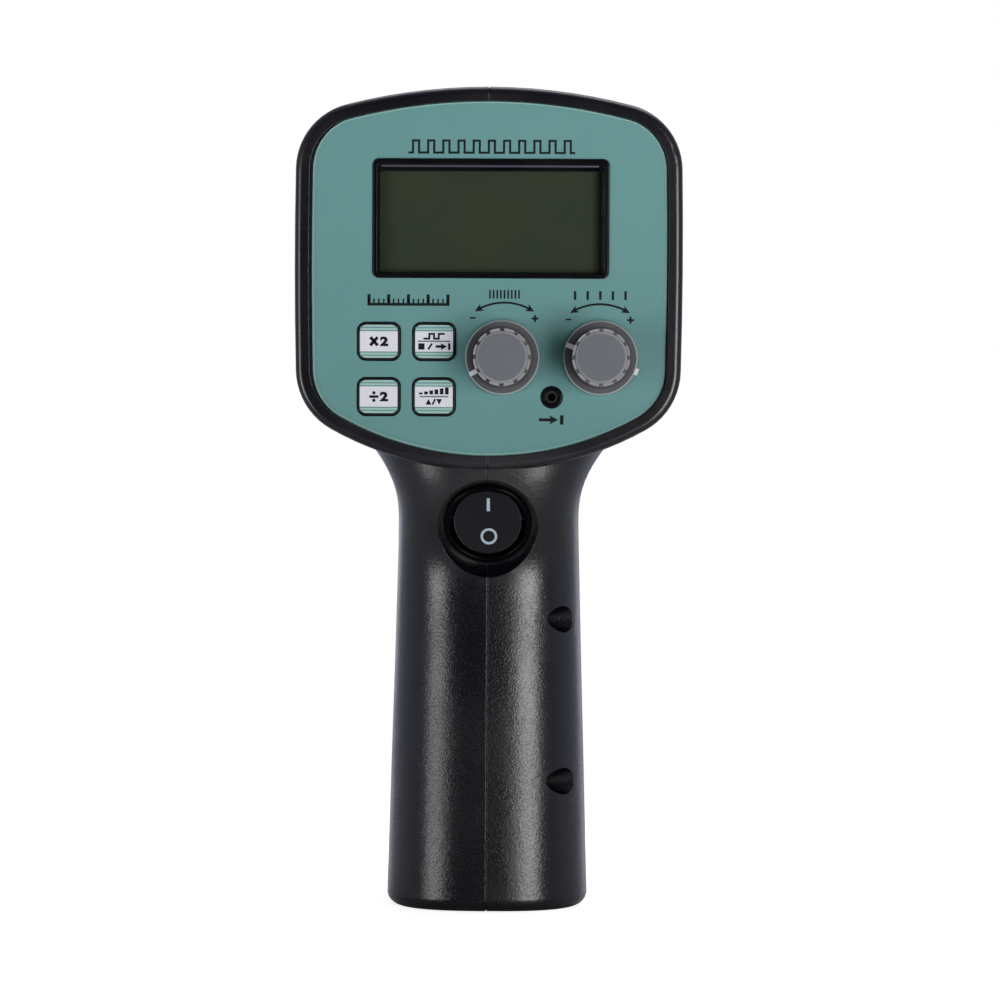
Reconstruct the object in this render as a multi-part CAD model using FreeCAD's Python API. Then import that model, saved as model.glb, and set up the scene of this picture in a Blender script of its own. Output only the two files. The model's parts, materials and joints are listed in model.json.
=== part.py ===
import FreeCAD, Part
import math
import os

from FreeCAD import Vector

# Xenon stroboscope: a pistol grip under a head with a control panel behind and a flash lamp
# in front. +X is to the right of the user who reads the panel, -Y is towards the user, the
# lamp shines along +Y, and the case stands on the end of its grip at Z = 0. Millimetres.

# ------------------------------------------------------------------ driving sizes: case
HEIGHT = 210.0                # standing surface to the top of the head
HEAD_WIDTH = 98.4             # across the rim of the control panel
HEAD_HEIGHT = 97.2            # top to underside of that rim
RIM_FACE_Y = -45.0            # plane of the rim
LAMP_FACE_Y = 60.0            # plane of the front ring
LAMP_AXIS_DROP = 48.5         # top of the head to the lamp's axis
TOP_ARC = 145.0               # radii of the rim's outline
SIDE_ARC = 1200.0
BOTTOM_ARC = 82.0
TOP_CORNER = 17.0
BOTTOM_CORNER = 17.5
SIDE_ARC_DROP = 43.0          # top of the head to the widest point of the rim

WALL = 2.5
RIM_WIDTH = 3.65              # rim face, from its outer edge to the panel
RIM_DEPTH = 14.0
RIM_EDGE = 1.8                # rounding of the rim's edge towards the holder
RIM_BACK_EDGE = 1.1
LIP_DEPTH = 1.7               # rim lip in front of the panel groove
LIP_OVERLAP = 1.8             # how far the lip covers the edge of the panel
LEDGE_WIDTH = 1.5             # ledge behind the panel groove, inside the rim face
LEDGE_DEPTH = 2.3
BARREL_RADIUS = 46.2          # round end of the head
BARREL_END_Y = LAMP_FACE_Y - 10.0
SPIGOT_RADIUS = BARREL_RADIUS - 1.3   # seat of the front ring
SPIGOT_LENGTH = 4.0
SPIGOT_WALL = 2.2
NECK_GAP = 0.7                # inside of the neck in front of the ledge
RIB = 2.0                     # thickness of rails, shelves and clamps
SEAM_WIDTH = 0.3              # groove along the joint of the two halves
SEAM_DEPTH = 0.25

# Share of the way from the rim face to the barrel's end, inset from the rim's outline, share
# of the round form.
HEAD_STATIONS = ((0.0, 1.6, 0.0), (0.2, 1.6, 0.0), (0.4, 2.1, 0.1), (0.62, 2.3, 0.55),
                 (0.86, 2.4, 0.97), (1.0, 2.4, 1.0))
HEAD_POINTS = 36
HEAD_SECTIONS = 12

# Drop below the rim's underside, half width, rear and front of the grip, and the exponent of
# its oval, where 2 is an ellipse and more is squarer.
GRIP_FOOT = (26.05, -42.0, 8.0, 2.6)
GRIP_STATIONS = ((78.8, 25.1, -40.4, 7.6, 2.6), (48.8, 24.25, -38.4, 7.2, 2.6),
                 (27.8, 23.7, -36.8, 7.4, 2.7), (20.0, 23.5, -38.2, 8.0, 2.9),
                 (13.0, 23.3, -40.9, 9.0, 3.1), (6.6, 24.0, -43.3, 11.5, 3.2),
                 (1.6, 25.6, -44.1, 15.0, 3.2), (-3.4, 28.6, -43.8, 18.5, 3.0),
                 (-7.2, 31.4, -42.8, 21.0, 2.8), (-10.6, 35.0, -41.6, 23.5, 2.6))
GRIP_POINTS = 28
GRIP_SECTIONS = 18
FOOT_EDGE = 3.0

# ------------------------------------------------------------------ driving sizes: control panel
PANEL_THICKNESS = 2.4
PANEL_PLAY = 0.2              # play of the panel in its groove
OVERLAY_THICKNESS = 0.5
FIT_GAP = 0.15                # round keys and the overlay's edge

DISPLAY_X = 0.5
DISPLAY_RISE = 15.15          # display centre above the lamp axis
DISPLAY_WIDTH = 60.0
DISPLAY_HEIGHT = 30.3
DISPLAY_CORNER = 1.7
BEZEL_FLANGE = 0.6            # overlap and thickness of the bezel's flange
BEZEL_EDGE = 0.3
BEZEL_FACE = (1.1, 1.05)      # flat of the bezel beside and above its sloped inner faces
BEZEL_SLOPE_DEPTH = 1.8
VIEW_CORNER = 0.6
BEZEL_SIDE = 1.9              # frame beside the view
BEZEL_TOP = 3.1               # frame above it
BEZEL_BOTTOM = 1.6
VIEW_WIDTH = DISPLAY_WIDTH - 2 * BEZEL_SIDE
VIEW_HEIGHT = DISPLAY_HEIGHT - BEZEL_TOP - BEZEL_BOTTOM
VIEW_DROP = (BEZEL_TOP - BEZEL_BOTTOM) / 2    # middle of the view below the bezel's middle
WINDOW_THICKNESS = 1.0
WINDOW_OVERLAP = 0.6          # window behind the frame, on every side
WINDOW_PLAY = 0.1
GLASS_PLAY = 0.2              # display glass behind the panel
GLASS_THICKNESS = 2.8
GLASS_MARGIN = 2.9            # glass beyond the view on every side
CONTACT_LEDGE = 2.0           # thin lower edge of the glass
HOLDER_WALL = 1.3
STRIP_THICKNESS = 2.2

KEY_WIDTH = 10.9
KEY_HEIGHT = 9.7
KEY_CORNER = 2.2
KEY_EDGE = 0.4
KEY_PITCH = 14.0
KEY_BLOCK_X = -20.75          # middle of the four keys
KEY_BLOCK_DROP = 23.05        # below the lamp axis
KEY_PROUD = 0.6
KEY_TRAVEL = 0.5
KEY_FLANGE = 0.6              # flange that keeps the key behind the panel
KEY_FLANGE_THICKNESS = 0.8
KEY_GAP = 0.1                 # between that flange and the panel
PLUNGER_RADIUS = 2.0

KNOB_DROP = 20.0              # knobs below the lamp axis
FINE_KNOB_X = 3.56
COARSE_KNOB_X = 28.4
FINE_POINTER_ANGLE = 208.0    # from +X towards +Z
COARSE_POINTER_ANGLE = 159.0
KNOB_RISE = 15.0              # top of the knobs in front of the rim
KNOB_TOP_Y = RIM_FACE_Y - KNOB_RISE
KNOB_SKIRT_RADIUS = 9.4
KNOB_SKIRT_THICKNESS = 2.2
KNOB_SKIRT_EDGE = 0.45        # rounding of the skirt's front edge
KNOB_RECESS = 1.7             # hollow under the skirt, over the nut
KNOB_RADIUS = 7.25            # barrel at the skirt
KNOB_TAPER = 0.1
KNOB_CAP_RADIUS = 6.4
KNOB_CAP_HEIGHT = 1.2
KNOB_CAP_BEVEL = 0.6
KNOB_NOTCHES = 12
KNOB_NOTCH_RADIUS = 0.75
KNOB_CLEARANCE = 0.5          # skirt in front of the overlay
POINTER_WIDTH = 1.2
POINTER_DEPTH = 0.5
INLAY_GAP = 0.02              # round the white marks
PIP_WIDTH = 1.7
PIP_PROUD = 0.8

SHAFT_RADIUS = 3.0
SHAFT_FLAT = 1.5              # flat of the D, from the axis
SHAFT_CLEARANCE = 0.04
SHAFT_DROP = 3.5              # end of the shaft below the top of the knob
BUSHING_RADIUS = 3.5
POT_RADIUS = 8.2
POT_DEPTH = 9.0
POT_EDGE = 0.6
POT_BORE_DEPTH = 4.0          # how far the shaft runs into the can
TERMINAL_BLOCK_Y = (2.5, 4.5)  # behind the panel
TERMINAL_BLOCK_WIDTH = 12.0
TERMINAL_DROP = 2.5           # block below the can
TERMINAL_PITCH = 4.5
TERMINAL_WIDTH = 1.0
TERMINAL_THICKNESS = 0.8
NUT_FLATS = 10.0
NUT_THICKNESS = 1.8
WASHER_RADIUS = 6.1
WASHER_THICKNESS = 0.5

JACK_X = 16.1
JACK_DROP = 30.0              # below the lamp axis
JACK_RADIUS = 2.8
JACK_BORE_RADIUS = 1.8
JACK_DEPTH = 11.8
JACK_PROUD = 0.4
JACK_EDGE = 0.3
JACK_PLAY = 0.1
JACK_BODY = 8.0

BOARD_THICKNESS = 1.6
BOARD_HOLE_RADIUS = 1.4
CONTROL_BOARD_GAP = 9.7       # panel back to control board
CONTROL_BOARD_INSET = 7.5
POST_RADIUS = 2.5
SMALL_SCREW_RADIUS = 1.1
SMALL_SCREW_FIT = 0.02
SMALL_SCREW_LENGTH = 5.0
SMALL_HEAD_RADIUS = 2.2
SMALL_HEAD_HEIGHT = 1.5
SIDE_POST_X = HEAD_WIDTH / 2 - 10.0
# Board posts: X and height above the lamp axis.
BOARD_POSTS = ((-24.0, 35.8), (24.0, 35.8), (-SIDE_POST_X, -7.0), (SIDE_POST_X, -7.0),
               (4.0, -37.2))
TACT_SIZE = 6.0
TACT_HEIGHT = 3.5
TACT_BUTTON_RADIUS = 1.75
TACT_BUTTON_HEIGHT = 0.3      # pressed home
# Chips on the control board: X limits, height, limits above the lamp axis.
PROCESSOR = ((-24.0, -10.0), 1.6, (6.0, 20.0))
DISPLAY_DRIVER = ((6.0, 22.0), 1.4, (10.0, 17.0))
CRYSTAL = ((-6.0, 0.0), 2.6, (8.0, 18.0))
HEADER = ((-8.0, 8.0), 5.0, (-12.5, -8.5))
SMALL_CAN_X = (-30.0, 27.0, 33.0)
SMALL_CAN_RADIUS = 2.5
SMALL_CAN_HEIGHT = 7.0

# ------------------------------------------------------------------ driving sizes: rocker switch
SWITCH_TILT = 28.0            # the switch looks back and down
SWITCH_DROP = 13.1            # centre of its seat below the rim's underside
SWITCH_SEAT_Y = -37.0
POCKET_RADIUS = 12.8
POCKET_WALL = 2.3
POCKET_REACH = 9.0            # wall of the pocket in front of the seat
SWITCH_BEZEL_RADIUS = 11.25
SWITCH_BEZEL_HEIGHT = 2.0
SWITCH_BEZEL_EDGE = 0.8
SWITCH_HOLE_RADIUS = 10.0
SWITCH_FIT = 0.1              # radial play of the body in its hole
SWITCH_MOUTH_RADIUS = 9.55    # inside of the bezel
SWITCH_MOUTH_DEPTH = 1.6      # behind the seat plane
SWITCH_WELL_RADIUS = 8.95
SWITCH_WELL_DEPTH = 6.5
SWITCH_BODY_DEPTH = 14.0
ROCKER_RADIUS = 8.7
ROCKER_THICKNESS = 3.0
ROCKER_TAPER = 0.8
ROCKER_EDGE = 0.4
ROCKER_PROUD = 0.2            # edge of the rocker in front of the bezel
ROCKER_HOLLOW_RADIUS = 60.0
ROCKER_HOLLOW_DEPTH = 0.5
ROCKER_SADDLE = (13.2, 10.0)  # width and height of the block behind the cap
ROCKER_SWING = 24.0
ROCKER_PIVOT_DEPTH = 2.4      # pivot behind the seat plane
ROCKER_PIN_RADIUS = 1.2
ROCKER_PIN_CLEARANCE = 0.05
ROCKER_PIN_WALL = 0.35        # left of the body's wall outside a pin hole
TAB_WIDTH = 4.8
TAB_LENGTH = 8.0
TAB_THICKNESS = 0.8
TAB_PLACE = 4.5               # above and below the middle of the switch

# ------------------------------------------------------------------ driving sizes: case screws
WELL_RADIUS = 3.45
WELL_POST_RADIUS = 5.0
PILOT_POST_RADIUS = 3.8
SCREW_WEB = 3.0               # material under the screw head
SCREW_HEAD_RADIUS = 2.7
SCREW_HEAD_HEIGHT = 2.0
SCREW_CROSS = (3.4, 0.7, 0.9)  # length, width and depth of the recess's arms
SCREW_RADIUS = 1.4
SCREW_FIT = 0.02              # pilot beyond the screw
SCREW_PLAY = 0.2              # clearance hole beyond the screw
SCREW_LENGTH = 11.0
LOWER_SCREW_Z = 33.0
LOWER_SCREW_Y = -34.2
UPPER_SCREW_DROP = 38.4
UPPER_SCREW_Y = -31.0
# Screws in the head: Y and height above the lamp axis.
HEAD_SCREWS = ((-18.0, 38.0), (28.0, 36.0), (28.0, -36.0))

# ------------------------------------------------------------------ driving sizes: lamp
REFLECTOR_FOCUS = 12.0
REFLECTOR_RADIUS = SPIGOT_RADIUS - 4.9
REFLECTOR_WALL = 0.9
REFLECTOR_HOLE = 9.6
TUBE_RADIUS = 3.0
TUBE_WALL = 0.8
TUBE_BEND = 6.0               # radius of the U
TUBE_SEAT = 6.0               # how deep the tube stands in its base
TUBE_BASE_RADIUS = 9.3
TUBE_BASE_DROP = 0.8          # front of the base below the reflector's vertex
COLLAR_LENGTH = 4.0           # of the reflector round the base
ELECTRODE_PLUG = 4.0
ELECTRODE_TIP = (1.0, 5.0)    # radius and length
ELECTRODE_PIN_RADIUS = 0.6
TRIGGER_WIRE_RADIUS = 0.3
TRIGGER_WIRE_DROP = 5.0       # where it leaves the base, below the lamp axis
TRIGGER_TURNS = 4
TRIGGER_PITCH = 2.2
TRIGGER_STEPS = 12            # points that draw one turn
TRIGGER_WIRE_GAP = 0.1        # between the wire and the glass
LENS_RADIUS = SPIGOT_RADIUS - 0.3
LENS_THICKNESS = 2.2
LENS_EDGE = 0.3
GASKET_THICKNESS = 0.6
RING_WALL = 3.1               # ring outside the spigot
RING_RADIUS = SPIGOT_RADIUS + RING_WALL
RING_OPENING = LENS_RADIUS - 3.1
RING_LIP = 2.1
RING_EDGE = 1.2
RING_BEVEL = (2.2, 1.8)       # width and depth of the bevel inside the lip
RING_FIT = 0.1                # ring on its spigot
RING_GAP = 0.2                # ring in front of the barrel
RING_SCREWS = 4
RING_SCREW_SINK = 1.5

# ------------------------------------------------------------------ driving sizes: power parts
POWER_BOARD_Y = 3.0
POWER_BOARD_WIDTH = 84.0
POWER_BOARD_HEIGHT = 54.0
POWER_BOARD_CORNER = 9.0
RAIL_HEIGHT = 30.0
RAIL_REACH = 2.2              # how far the rails cover the edges of the board
CAPACITOR_RADIUS = 9.0
CAPACITOR_LENGTH = 34.0
CAPACITOR_PITCH = 22.0
CAPACITOR_EDGE = 0.8
FUSE_LENGTH = 20.0
FUSE_RADIUS = 2.6
FUSE_RISE = 20.0              # above the lamp axis
FUSE_CLIP_WIDTH = 4.0
FUSE_CLIP_WALL = 0.5
TRIGGER_COIL = (16.0, 11.0, 12.0)
TRIGGER_COIL_DROP = 19.0      # below the lamp axis
CORE_WIDTH = 30.0
CORE_HEIGHT = 24.0
CORE_STACK = 14.0
CORE_LIMB = 4.5
CORE_Z = 43.0
COIL_DEPTH = 25.0
COIL_CLEARANCE = 1.2          # coil in front of the screw posts
CORE_Y = UPPER_SCREW_Y + WELL_POST_RADIUS + COIL_CLEARANCE + COIL_DEPTH / 2
COIL_GAP = 0.1
COIL_EDGE = 3.0
SHELF_REACH = 3.0             # how far the shelves cover the core
INLET_Y = -17.0
INLET_LENGTH = 16.8           # opening of the two-pin inlet
INLET_HEIGHT = 8.6
INLET_DEPTH = 11.0
INLET_WALL = 1.5
INLET_FLANGE = 2.5            # width of its flange
INLET_FLANGE_THICKNESS = 2.0
INLET_BACK = 3.0              # floor of the socket
INLET_CLAMP_WIDTH = 8.0
INLET_RECESS = 0.8
INLET_PIN_RADIUS = 1.18
INLET_PIN_PITCH = 8.6
INLET_PIN_LENGTH = 9.4
INLET_PIN_EDGE = 0.6
INLET_TAIL_LENGTH = 3.0       # of the pins behind the inlet
LEAD_RADIUS = 0.9
LEAD_CLEARANCE = 1.3          # leads beside the transformer core
LEAD_RISE = 7.0               # straight run of a lead above the inlet
RIBBON_WIDTH = 12.0
RIBBON_THICKNESS = 0.8
RIBBON_DROP = 19.8            # its end on the power board, below the lamp axis

# ------------------------------------------------------------------ worked-out places
RIM_UNDERSIDE_Z = HEIGHT - HEAD_HEIGHT
LAMP_Z = HEIGHT - LAMP_AXIS_DROP
LIP_Y = RIM_FACE_Y + LIP_DEPTH
PANEL_FRONT_Y = LIP_Y + PANEL_PLAY
PANEL_BACK_Y = PANEL_FRONT_Y + PANEL_THICKNESS
GROOVE_END_Y = PANEL_BACK_Y + PANEL_PLAY
LEDGE_END_Y = GROOVE_END_Y + LEDGE_DEPTH
OVERLAY_Y = PANEL_FRONT_Y - OVERLAY_THICKNESS
WINDOW_Y = PANEL_BACK_Y - WINDOW_THICKNESS - GLASS_PLAY
GLASS_Y = PANEL_BACK_Y + GLASS_PLAY
CONTROL_BOARD_Y = PANEL_BACK_Y + CONTROL_BOARD_GAP
CONTROL_BOARD_BACK_Y = CONTROL_BOARD_Y + BOARD_THICKNESS
DISPLAY_Z = LAMP_Z + DISPLAY_RISE
VIEW_Z = DISPLAY_Z - VIEW_DROP
KNOB_Z = LAMP_Z - KNOB_DROP
JACK_Z = LAMP_Z - JACK_DROP
SKIRT_BACK_Y = OVERLAY_Y - KNOB_CLEARANCE
SKIRT_FRONT_Y = SKIRT_BACK_Y - KNOB_SKIRT_THICKNESS
SPIGOT_END_Y = BARREL_END_Y + SPIGOT_LENGTH
REFLECTOR_VERTEX_Y = SPIGOT_END_Y - REFLECTOR_RADIUS ** 2 / (4 * REFLECTOR_FOCUS)
LENS_Y = SPIGOT_END_Y + REFLECTOR_WALL + GASKET_THICKNESS
SWITCH_SEAT = Vector(0, SWITCH_SEAT_Y, RIM_UNDERSIDE_Z - SWITCH_DROP)
SPACE = 200.0                 # longer than anything in the case
OVERCUT = 0.1                 # how far a cut runs past the face it opens


# ------------------------------------------------------------------ solids
def block(x_range, y_range, z_range):
    """Box between three pairs of limits."""
    corner = Vector(x_range[0], y_range[0], z_range[0])
    return Part.makeBox(x_range[1] - x_range[0], y_range[1] - y_range[0],
                        z_range[1] - z_range[0], corner)


def rod(radius, start, end):
    """Cylinder from one point to another."""
    along = end.sub(start)
    return Part.makeCylinder(radius, along.Length, start, along)


def rod_y(radius, x, z, y_start, y_end):
    """Cylinder along Y."""
    return rod(radius, Vector(x, y_start, z), Vector(x, y_end, z))


def ring_y(outer, inner, x, z, y_start, y_end):
    """Ring along Y."""
    bore = rod_y(inner, x, z, y_start - OVERCUT, y_end + OVERCUT)
    return rod_y(outer, x, z, y_start, y_end).cut(bore)


def union(shapes):
    """One shape from several that touch or overlap."""
    whole = shapes[0]
    if len(shapes) > 1:
        whole = shapes[0].fuse(shapes[1:])
    return whole.removeSplitter()


def rounded_rectangle(width, height, corner, x, y, z):
    """Closed wire in the plane of constant Y."""
    half_w = width / 2
    half_h = height / 2
    edges = []
    for quarter in range(4):
        start = math.radians(90 * quarter)
        sign_x = 1 if quarter in (0, 3) else -1
        sign_z = 1 if quarter in (0, 1) else -1
        centre_x = x + sign_x * (half_w - corner)
        centre_z = z + sign_z * (half_h - corner)
        points = []
        for turn in (0, math.pi / 4, math.pi / 2):
            points.append(Vector(centre_x + corner * math.cos(start + turn), y,
                                 centre_z + corner * math.sin(start + turn)))
        if edges:
            edges.append(Part.LineSegment(edges[-1].EndPoint, points[0]))
        edges.append(Part.Arc(points[0], points[1], points[2]))
    edges.append(Part.LineSegment(edges[-1].EndPoint, edges[0].StartPoint))
    return Part.Wire([edge.toShape() for edge in edges])


def plate(width, height, corner, x, z, y_start, y_end):
    """Rounded plate facing along Y."""
    wire = rounded_rectangle(width, height, corner, x, y_start, z)
    return Part.Face(wire).extrude(Vector(0, y_end - y_start, 0))


def route(points):
    """Wire of straight runs joined by tangent arcs through a list of points."""
    edges = []
    start = points[0]
    for before, corner, after in zip(points, points[1:], points[2:]):
        to_before = before.sub(corner)
        to_after = after.sub(corner)
        half_turn = (math.pi - to_before.getAngle(to_after)) / 2
        reach = 0.45 * min(to_before.Length, to_after.Length)
        radius = reach / math.tan(half_turn)
        to_before.normalize()
        to_after.normalize()
        inward = to_before.add(to_after).normalize()
        middle = corner.add(inward.multiply(radius / math.cos(half_turn) - radius))
        arc_start = corner.add(Vector(to_before).multiply(reach))
        arc_end = corner.add(Vector(to_after).multiply(reach))
        edges.append(Part.LineSegment(start, arc_start).toShape())
        edges.append(Part.Arc(arc_start, middle, arc_end).toShape())
        start = arc_end
    edges.append(Part.LineSegment(start, points[-1]).toShape())
    return Part.Wire(edges)


def lead(points, radius=LEAD_RADIUS):
    """Insulated wire along a route."""
    circle = Part.Circle(points[0], points[1].sub(points[0]), radius)
    profile = Part.Wire([circle.toShape()])
    return route(points).makePipeShell([profile], True, True)


# ------------------------------------------------------------------ outline of the head
def meeting_point(first, first_radius, second, second_radius, upper):
    """Upper or lower point where two circles of the XZ plane cross."""
    apart_x = second[0] - first[0]
    apart_z = second[1] - first[1]
    apart = math.hypot(apart_x, apart_z)
    along = (first_radius ** 2 - second_radius ** 2 + apart ** 2) / (2 * apart)
    aside = math.sqrt(first_radius ** 2 - along ** 2)
    found = []
    for sign in (1, -1):
        x = first[0] + (along * apart_x - sign * aside * apart_z) / apart
        z = first[1] + (along * apart_z + sign * aside * apart_x) / apart
        found.append((x, z))
    found.sort(key=lambda point: point[1])
    return found[1] if upper else found[0]


def mirrored(arc):
    """The same arc on the other side of the middle plane."""
    centre, radius, start, end = arc
    return (-centre[0], centre[1]), radius, math.pi - end, math.pi - start


def head_arcs():
    """Arcs of the rim's outline, anticlockwise: centre, radius, first and last angle."""
    top = (0.0, HEIGHT - TOP_ARC)
    side = (HEAD_WIDTH / 2 - SIDE_ARC, HEIGHT - SIDE_ARC_DROP)
    bottom = (0.0, RIM_UNDERSIDE_Z + BOTTOM_ARC)
    upper = meeting_point(top, TOP_ARC - TOP_CORNER, side, SIDE_ARC - TOP_CORNER, True)
    lower = meeting_point(bottom, BOTTOM_ARC - BOTTOM_CORNER, side, SIDE_ARC - BOTTOM_CORNER,
                          False)

    def angle(centre, point):
        return math.atan2(point[1] - centre[1], point[0] - centre[0])

    side_low = angle(side, lower)
    side_high = angle(side, upper)
    top_start = angle(top, upper)
    bottom_end = angle(bottom, lower)
    side_arc = (side, SIDE_ARC, side_low, side_high)
    upper_corner = (upper, TOP_CORNER, side_high, top_start)
    lower_corner = (lower, BOTTOM_CORNER, bottom_end, side_low)
    return [side_arc, upper_corner, (top, TOP_ARC, top_start, math.pi - top_start),
            mirrored(upper_corner), mirrored(side_arc), mirrored(lower_corner),
            (bottom, BOTTOM_ARC, -math.pi - bottom_end, bottom_end), lower_corner]


def head_plate(inset, y_start, y_end):
    """Plate with the head's outline, drawn in by an inset."""
    edges = []
    for centre, radius, start, end in head_arcs():
        points = []
        for share in (0.0, 0.5, 1.0):
            angle = start + share * (end - start)
            points.append(Vector(centre[0] + (radius - inset) * math.cos(angle), y_start,
                                 centre[1] + (radius - inset) * math.sin(angle)))
        edges.append(Part.Arc(points[0], points[1], points[2]).toShape())
    return Part.Face(Part.Wire(edges)).extrude(Vector(0, y_end - y_start, 0))


def outline_reach(angle, inset):
    """Distance from the lamp axis to the outline in one direction."""
    toward_x = math.cos(angle)
    toward_z = math.sin(angle)
    for centre, radius, start, end in head_arcs():
        centre_x = centre[0]
        centre_z = centre[1] - LAMP_Z
        along = toward_x * centre_x + toward_z * centre_z
        inside = along ** 2 - centre_x ** 2 - centre_z ** 2 + (radius - inset) ** 2
        if inside < 0:
            continue
        reach = along + math.sqrt(inside)
        met = math.atan2(reach * toward_z - centre_z, reach * toward_x - centre_x)
        if (met - start) % (2 * math.pi) <= end - start:
            return reach
    raise ValueError("the outline of the head is open")


def closed_curve(points):
    """Smooth closed wire through points, evenly divided so that sections match each other."""
    count = len(points)
    curve = Part.BSplineCurve()
    curve.interpolate(Points=points, PeriodicFlag=True,
                      Parameters=[index / count for index in range(count + 1)])
    return Part.Wire([curve.toShape()])


def eased(stations, place):
    """Row of sizes at a place between stations, by cubic steps that never overshoot."""
    index = 0
    while index < len(stations) - 2 and place > stations[index + 1][0]:
        index += 1
    row = []
    for column in range(1, len(stations[0])):
        slopes = []
        for at in (index - 1, index, index + 1):
            if 0 <= at < len(stations) - 1:
                rise = stations[at + 1][column] - stations[at][column]
                slopes.append(rise / (stations[at + 1][0] - stations[at][0]))
            else:
                slopes.append(None)
        before, here, after = slopes
        start_slope = here if before is None else mean_slope(before, here)
        end_slope = here if after is None else mean_slope(here, after)
        width = stations[index + 1][0] - stations[index][0]
        share = (place - stations[index][0]) / width
        low = stations[index][column]
        high = stations[index + 1][column]
        row.append(low * (1 + 2 * share) * (1 - share) ** 2
                   + high * share ** 2 * (3 - 2 * share)
                   + width * share * (1 - share) * (start_slope * (1 - share)
                                                    - end_slope * share))
    return row


def mean_slope(first, second):
    """Slope at a station: the harmonic mean of its two sides, level at a turning point."""
    if first * second <= 0:
        return 0.0
    return 2 * first * second / (first + second)


def head_section(y, step, roundness, inset):
    """Section of the head: its rim outline, turning round towards the lamp."""
    points = []
    for index in range(HEAD_POINTS):
        angle = 2 * math.pi * (index + 0.5) / HEAD_POINTS
        reach = outline_reach(angle, step + inset) * (1 - roundness)
        reach += (BARREL_RADIUS - inset) * roundness
        points.append(Vector(reach * math.cos(angle), y, LAMP_Z + reach * math.sin(angle)))
    return closed_curve(points)


def head_body(inset, y_start, y_end):
    """Head behind the rim, drawn in by an inset, between two planes."""
    sections = []
    for index in range(HEAD_SECTIONS):
        y = y_start + (y_end - y_start) * index / (HEAD_SECTIONS - 1)
        step, roundness = eased(HEAD_STATIONS, (y - RIM_FACE_Y) / (BARREL_END_Y - RIM_FACE_Y))
        sections.append(head_section(y, step, roundness, inset))
    return Part.makeLoft(sections, True, False)


def grip_section(z, half_width, rear, front, squareness):
    """Oval section of the grip."""
    half_depth = (front - rear) / 2
    middle = (front + rear) / 2
    points = []
    for index in range(GRIP_POINTS):
        angle = 2 * math.pi * (index + 0.5) / GRIP_POINTS
        across = abs(math.cos(angle) / half_width) ** squareness
        deep = abs(math.sin(angle) / half_depth) ** squareness
        reach = (across + deep) ** (-1 / squareness)
        points.append(Vector(reach * math.cos(angle), middle + reach * math.sin(angle), z))
    return closed_curve(points)


def grip_body(inset, foot_z, rear_limit):
    """Grip with its flared neck, drawn in by an inset and kept in front of a rear limit."""
    stations = [(0.0,) + GRIP_FOOT]
    for drop, *sizes in GRIP_STATIONS:
        stations.append((RIM_UNDERSIDE_Z - drop, *sizes))
    top_z = stations[-1][0]
    sections = []
    for index in range(GRIP_SECTIONS):
        z = foot_z + (top_z - foot_z) * index / (GRIP_SECTIONS - 1)
        half_width, rear, front, squareness = eased(stations, z)
        sections.append(grip_section(z, half_width - inset, max(rear + inset, rear_limit),
                                     front - inset, squareness))
    return Part.makeLoft(sections, True, False)


# ------------------------------------------------------------------ case
def edges_at(shape, axis, value):
    """Edges of a shape that lie wholly in one plane."""
    found = []
    for edge in shape.Edges:
        box = edge.BoundBox
        low = (box.XMin, box.YMin, box.ZMin)[axis]
        high = (box.XMax, box.YMax, box.ZMax)[axis]
        if abs(low - value) < 1e-4 and abs(high - value) < 1e-4:
            found.append(edge)
    return found


def rim(inset):
    """Rim round the control panel, with its rounded edges."""
    front = RIM_FACE_Y + inset
    back = RIM_FACE_Y + RIM_DEPTH - inset
    solid = head_plate(inset, front, back)
    solid = solid.makeFillet(RIM_EDGE, edges_at(solid, 1, front))
    return solid.makeFillet(RIM_BACK_EDGE, edges_at(solid, 1, back))


def grip_form(inset):
    """Outside of the grip, with its rounded foot."""
    solid = grip_body(inset, inset, RIM_FACE_Y)
    return solid.makeFillet(FOOT_EDGE, edges_at(solid, 2, inset))


def case_form(inset):
    """Outside of the whole case as one solid, drawn in by an inset."""
    head = head_body(inset, RIM_FACE_Y + RIM_DEPTH / 2, BARREL_END_Y - inset)
    spigot = rod_y(SPIGOT_RADIUS - inset, 0, LAMP_Z, BARREL_END_Y - SPIGOT_LENGTH,
                   SPIGOT_END_Y - inset)
    return union([rim(inset), head, spigot, grip_form(inset)])


def case_hollow():
    """Space inside the case: mouth, panel groove, ledge, head, grip and lamp barrel."""
    mouth = head_plate(RIM_WIDTH, RIM_FACE_Y - 1, LIP_Y + OVERCUT)
    groove = head_plate(RIM_WIDTH - LIP_OVERLAP, LIP_Y, GROOVE_END_Y)
    ledge = head_plate(RIM_WIDTH + LEDGE_WIDTH, GROOVE_END_Y - OVERCUT, LEDGE_END_Y + OVERCUT)
    head = head_body(WALL, LEDGE_END_Y, BARREL_END_Y - WALL)
    grip = grip_body(WALL, WALL, LEDGE_END_Y + NECK_GAP)
    barrel = rod_y(SPIGOT_RADIUS - SPIGOT_WALL, 0, LAMP_Z, BARREL_END_Y - SPIGOT_LENGTH,
                   SPIGOT_END_Y + 1)
    return [mouth, groove, ledge, head, grip, barrel]


def case_screw_places():
    """Y and Z of each screw that joins the halves."""
    places = [(LOWER_SCREW_Y, LOWER_SCREW_Z), (UPPER_SCREW_Y, RIM_UNDERSIDE_Z - UPPER_SCREW_DROP)]
    for y, rise in HEAD_SCREWS:
        places.append((y, LAMP_Z + rise))
    return places


def on_switch_seat(shape):
    """Moves a piece drawn on the plane Y = 0, looking along -Y, to the seat of the switch."""
    placed = shape.copy()
    placed.rotate(Vector(0, 0, 0), Vector(1, 0, 0), SWITCH_TILT)
    placed.translate(SWITCH_SEAT)
    return placed


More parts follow.
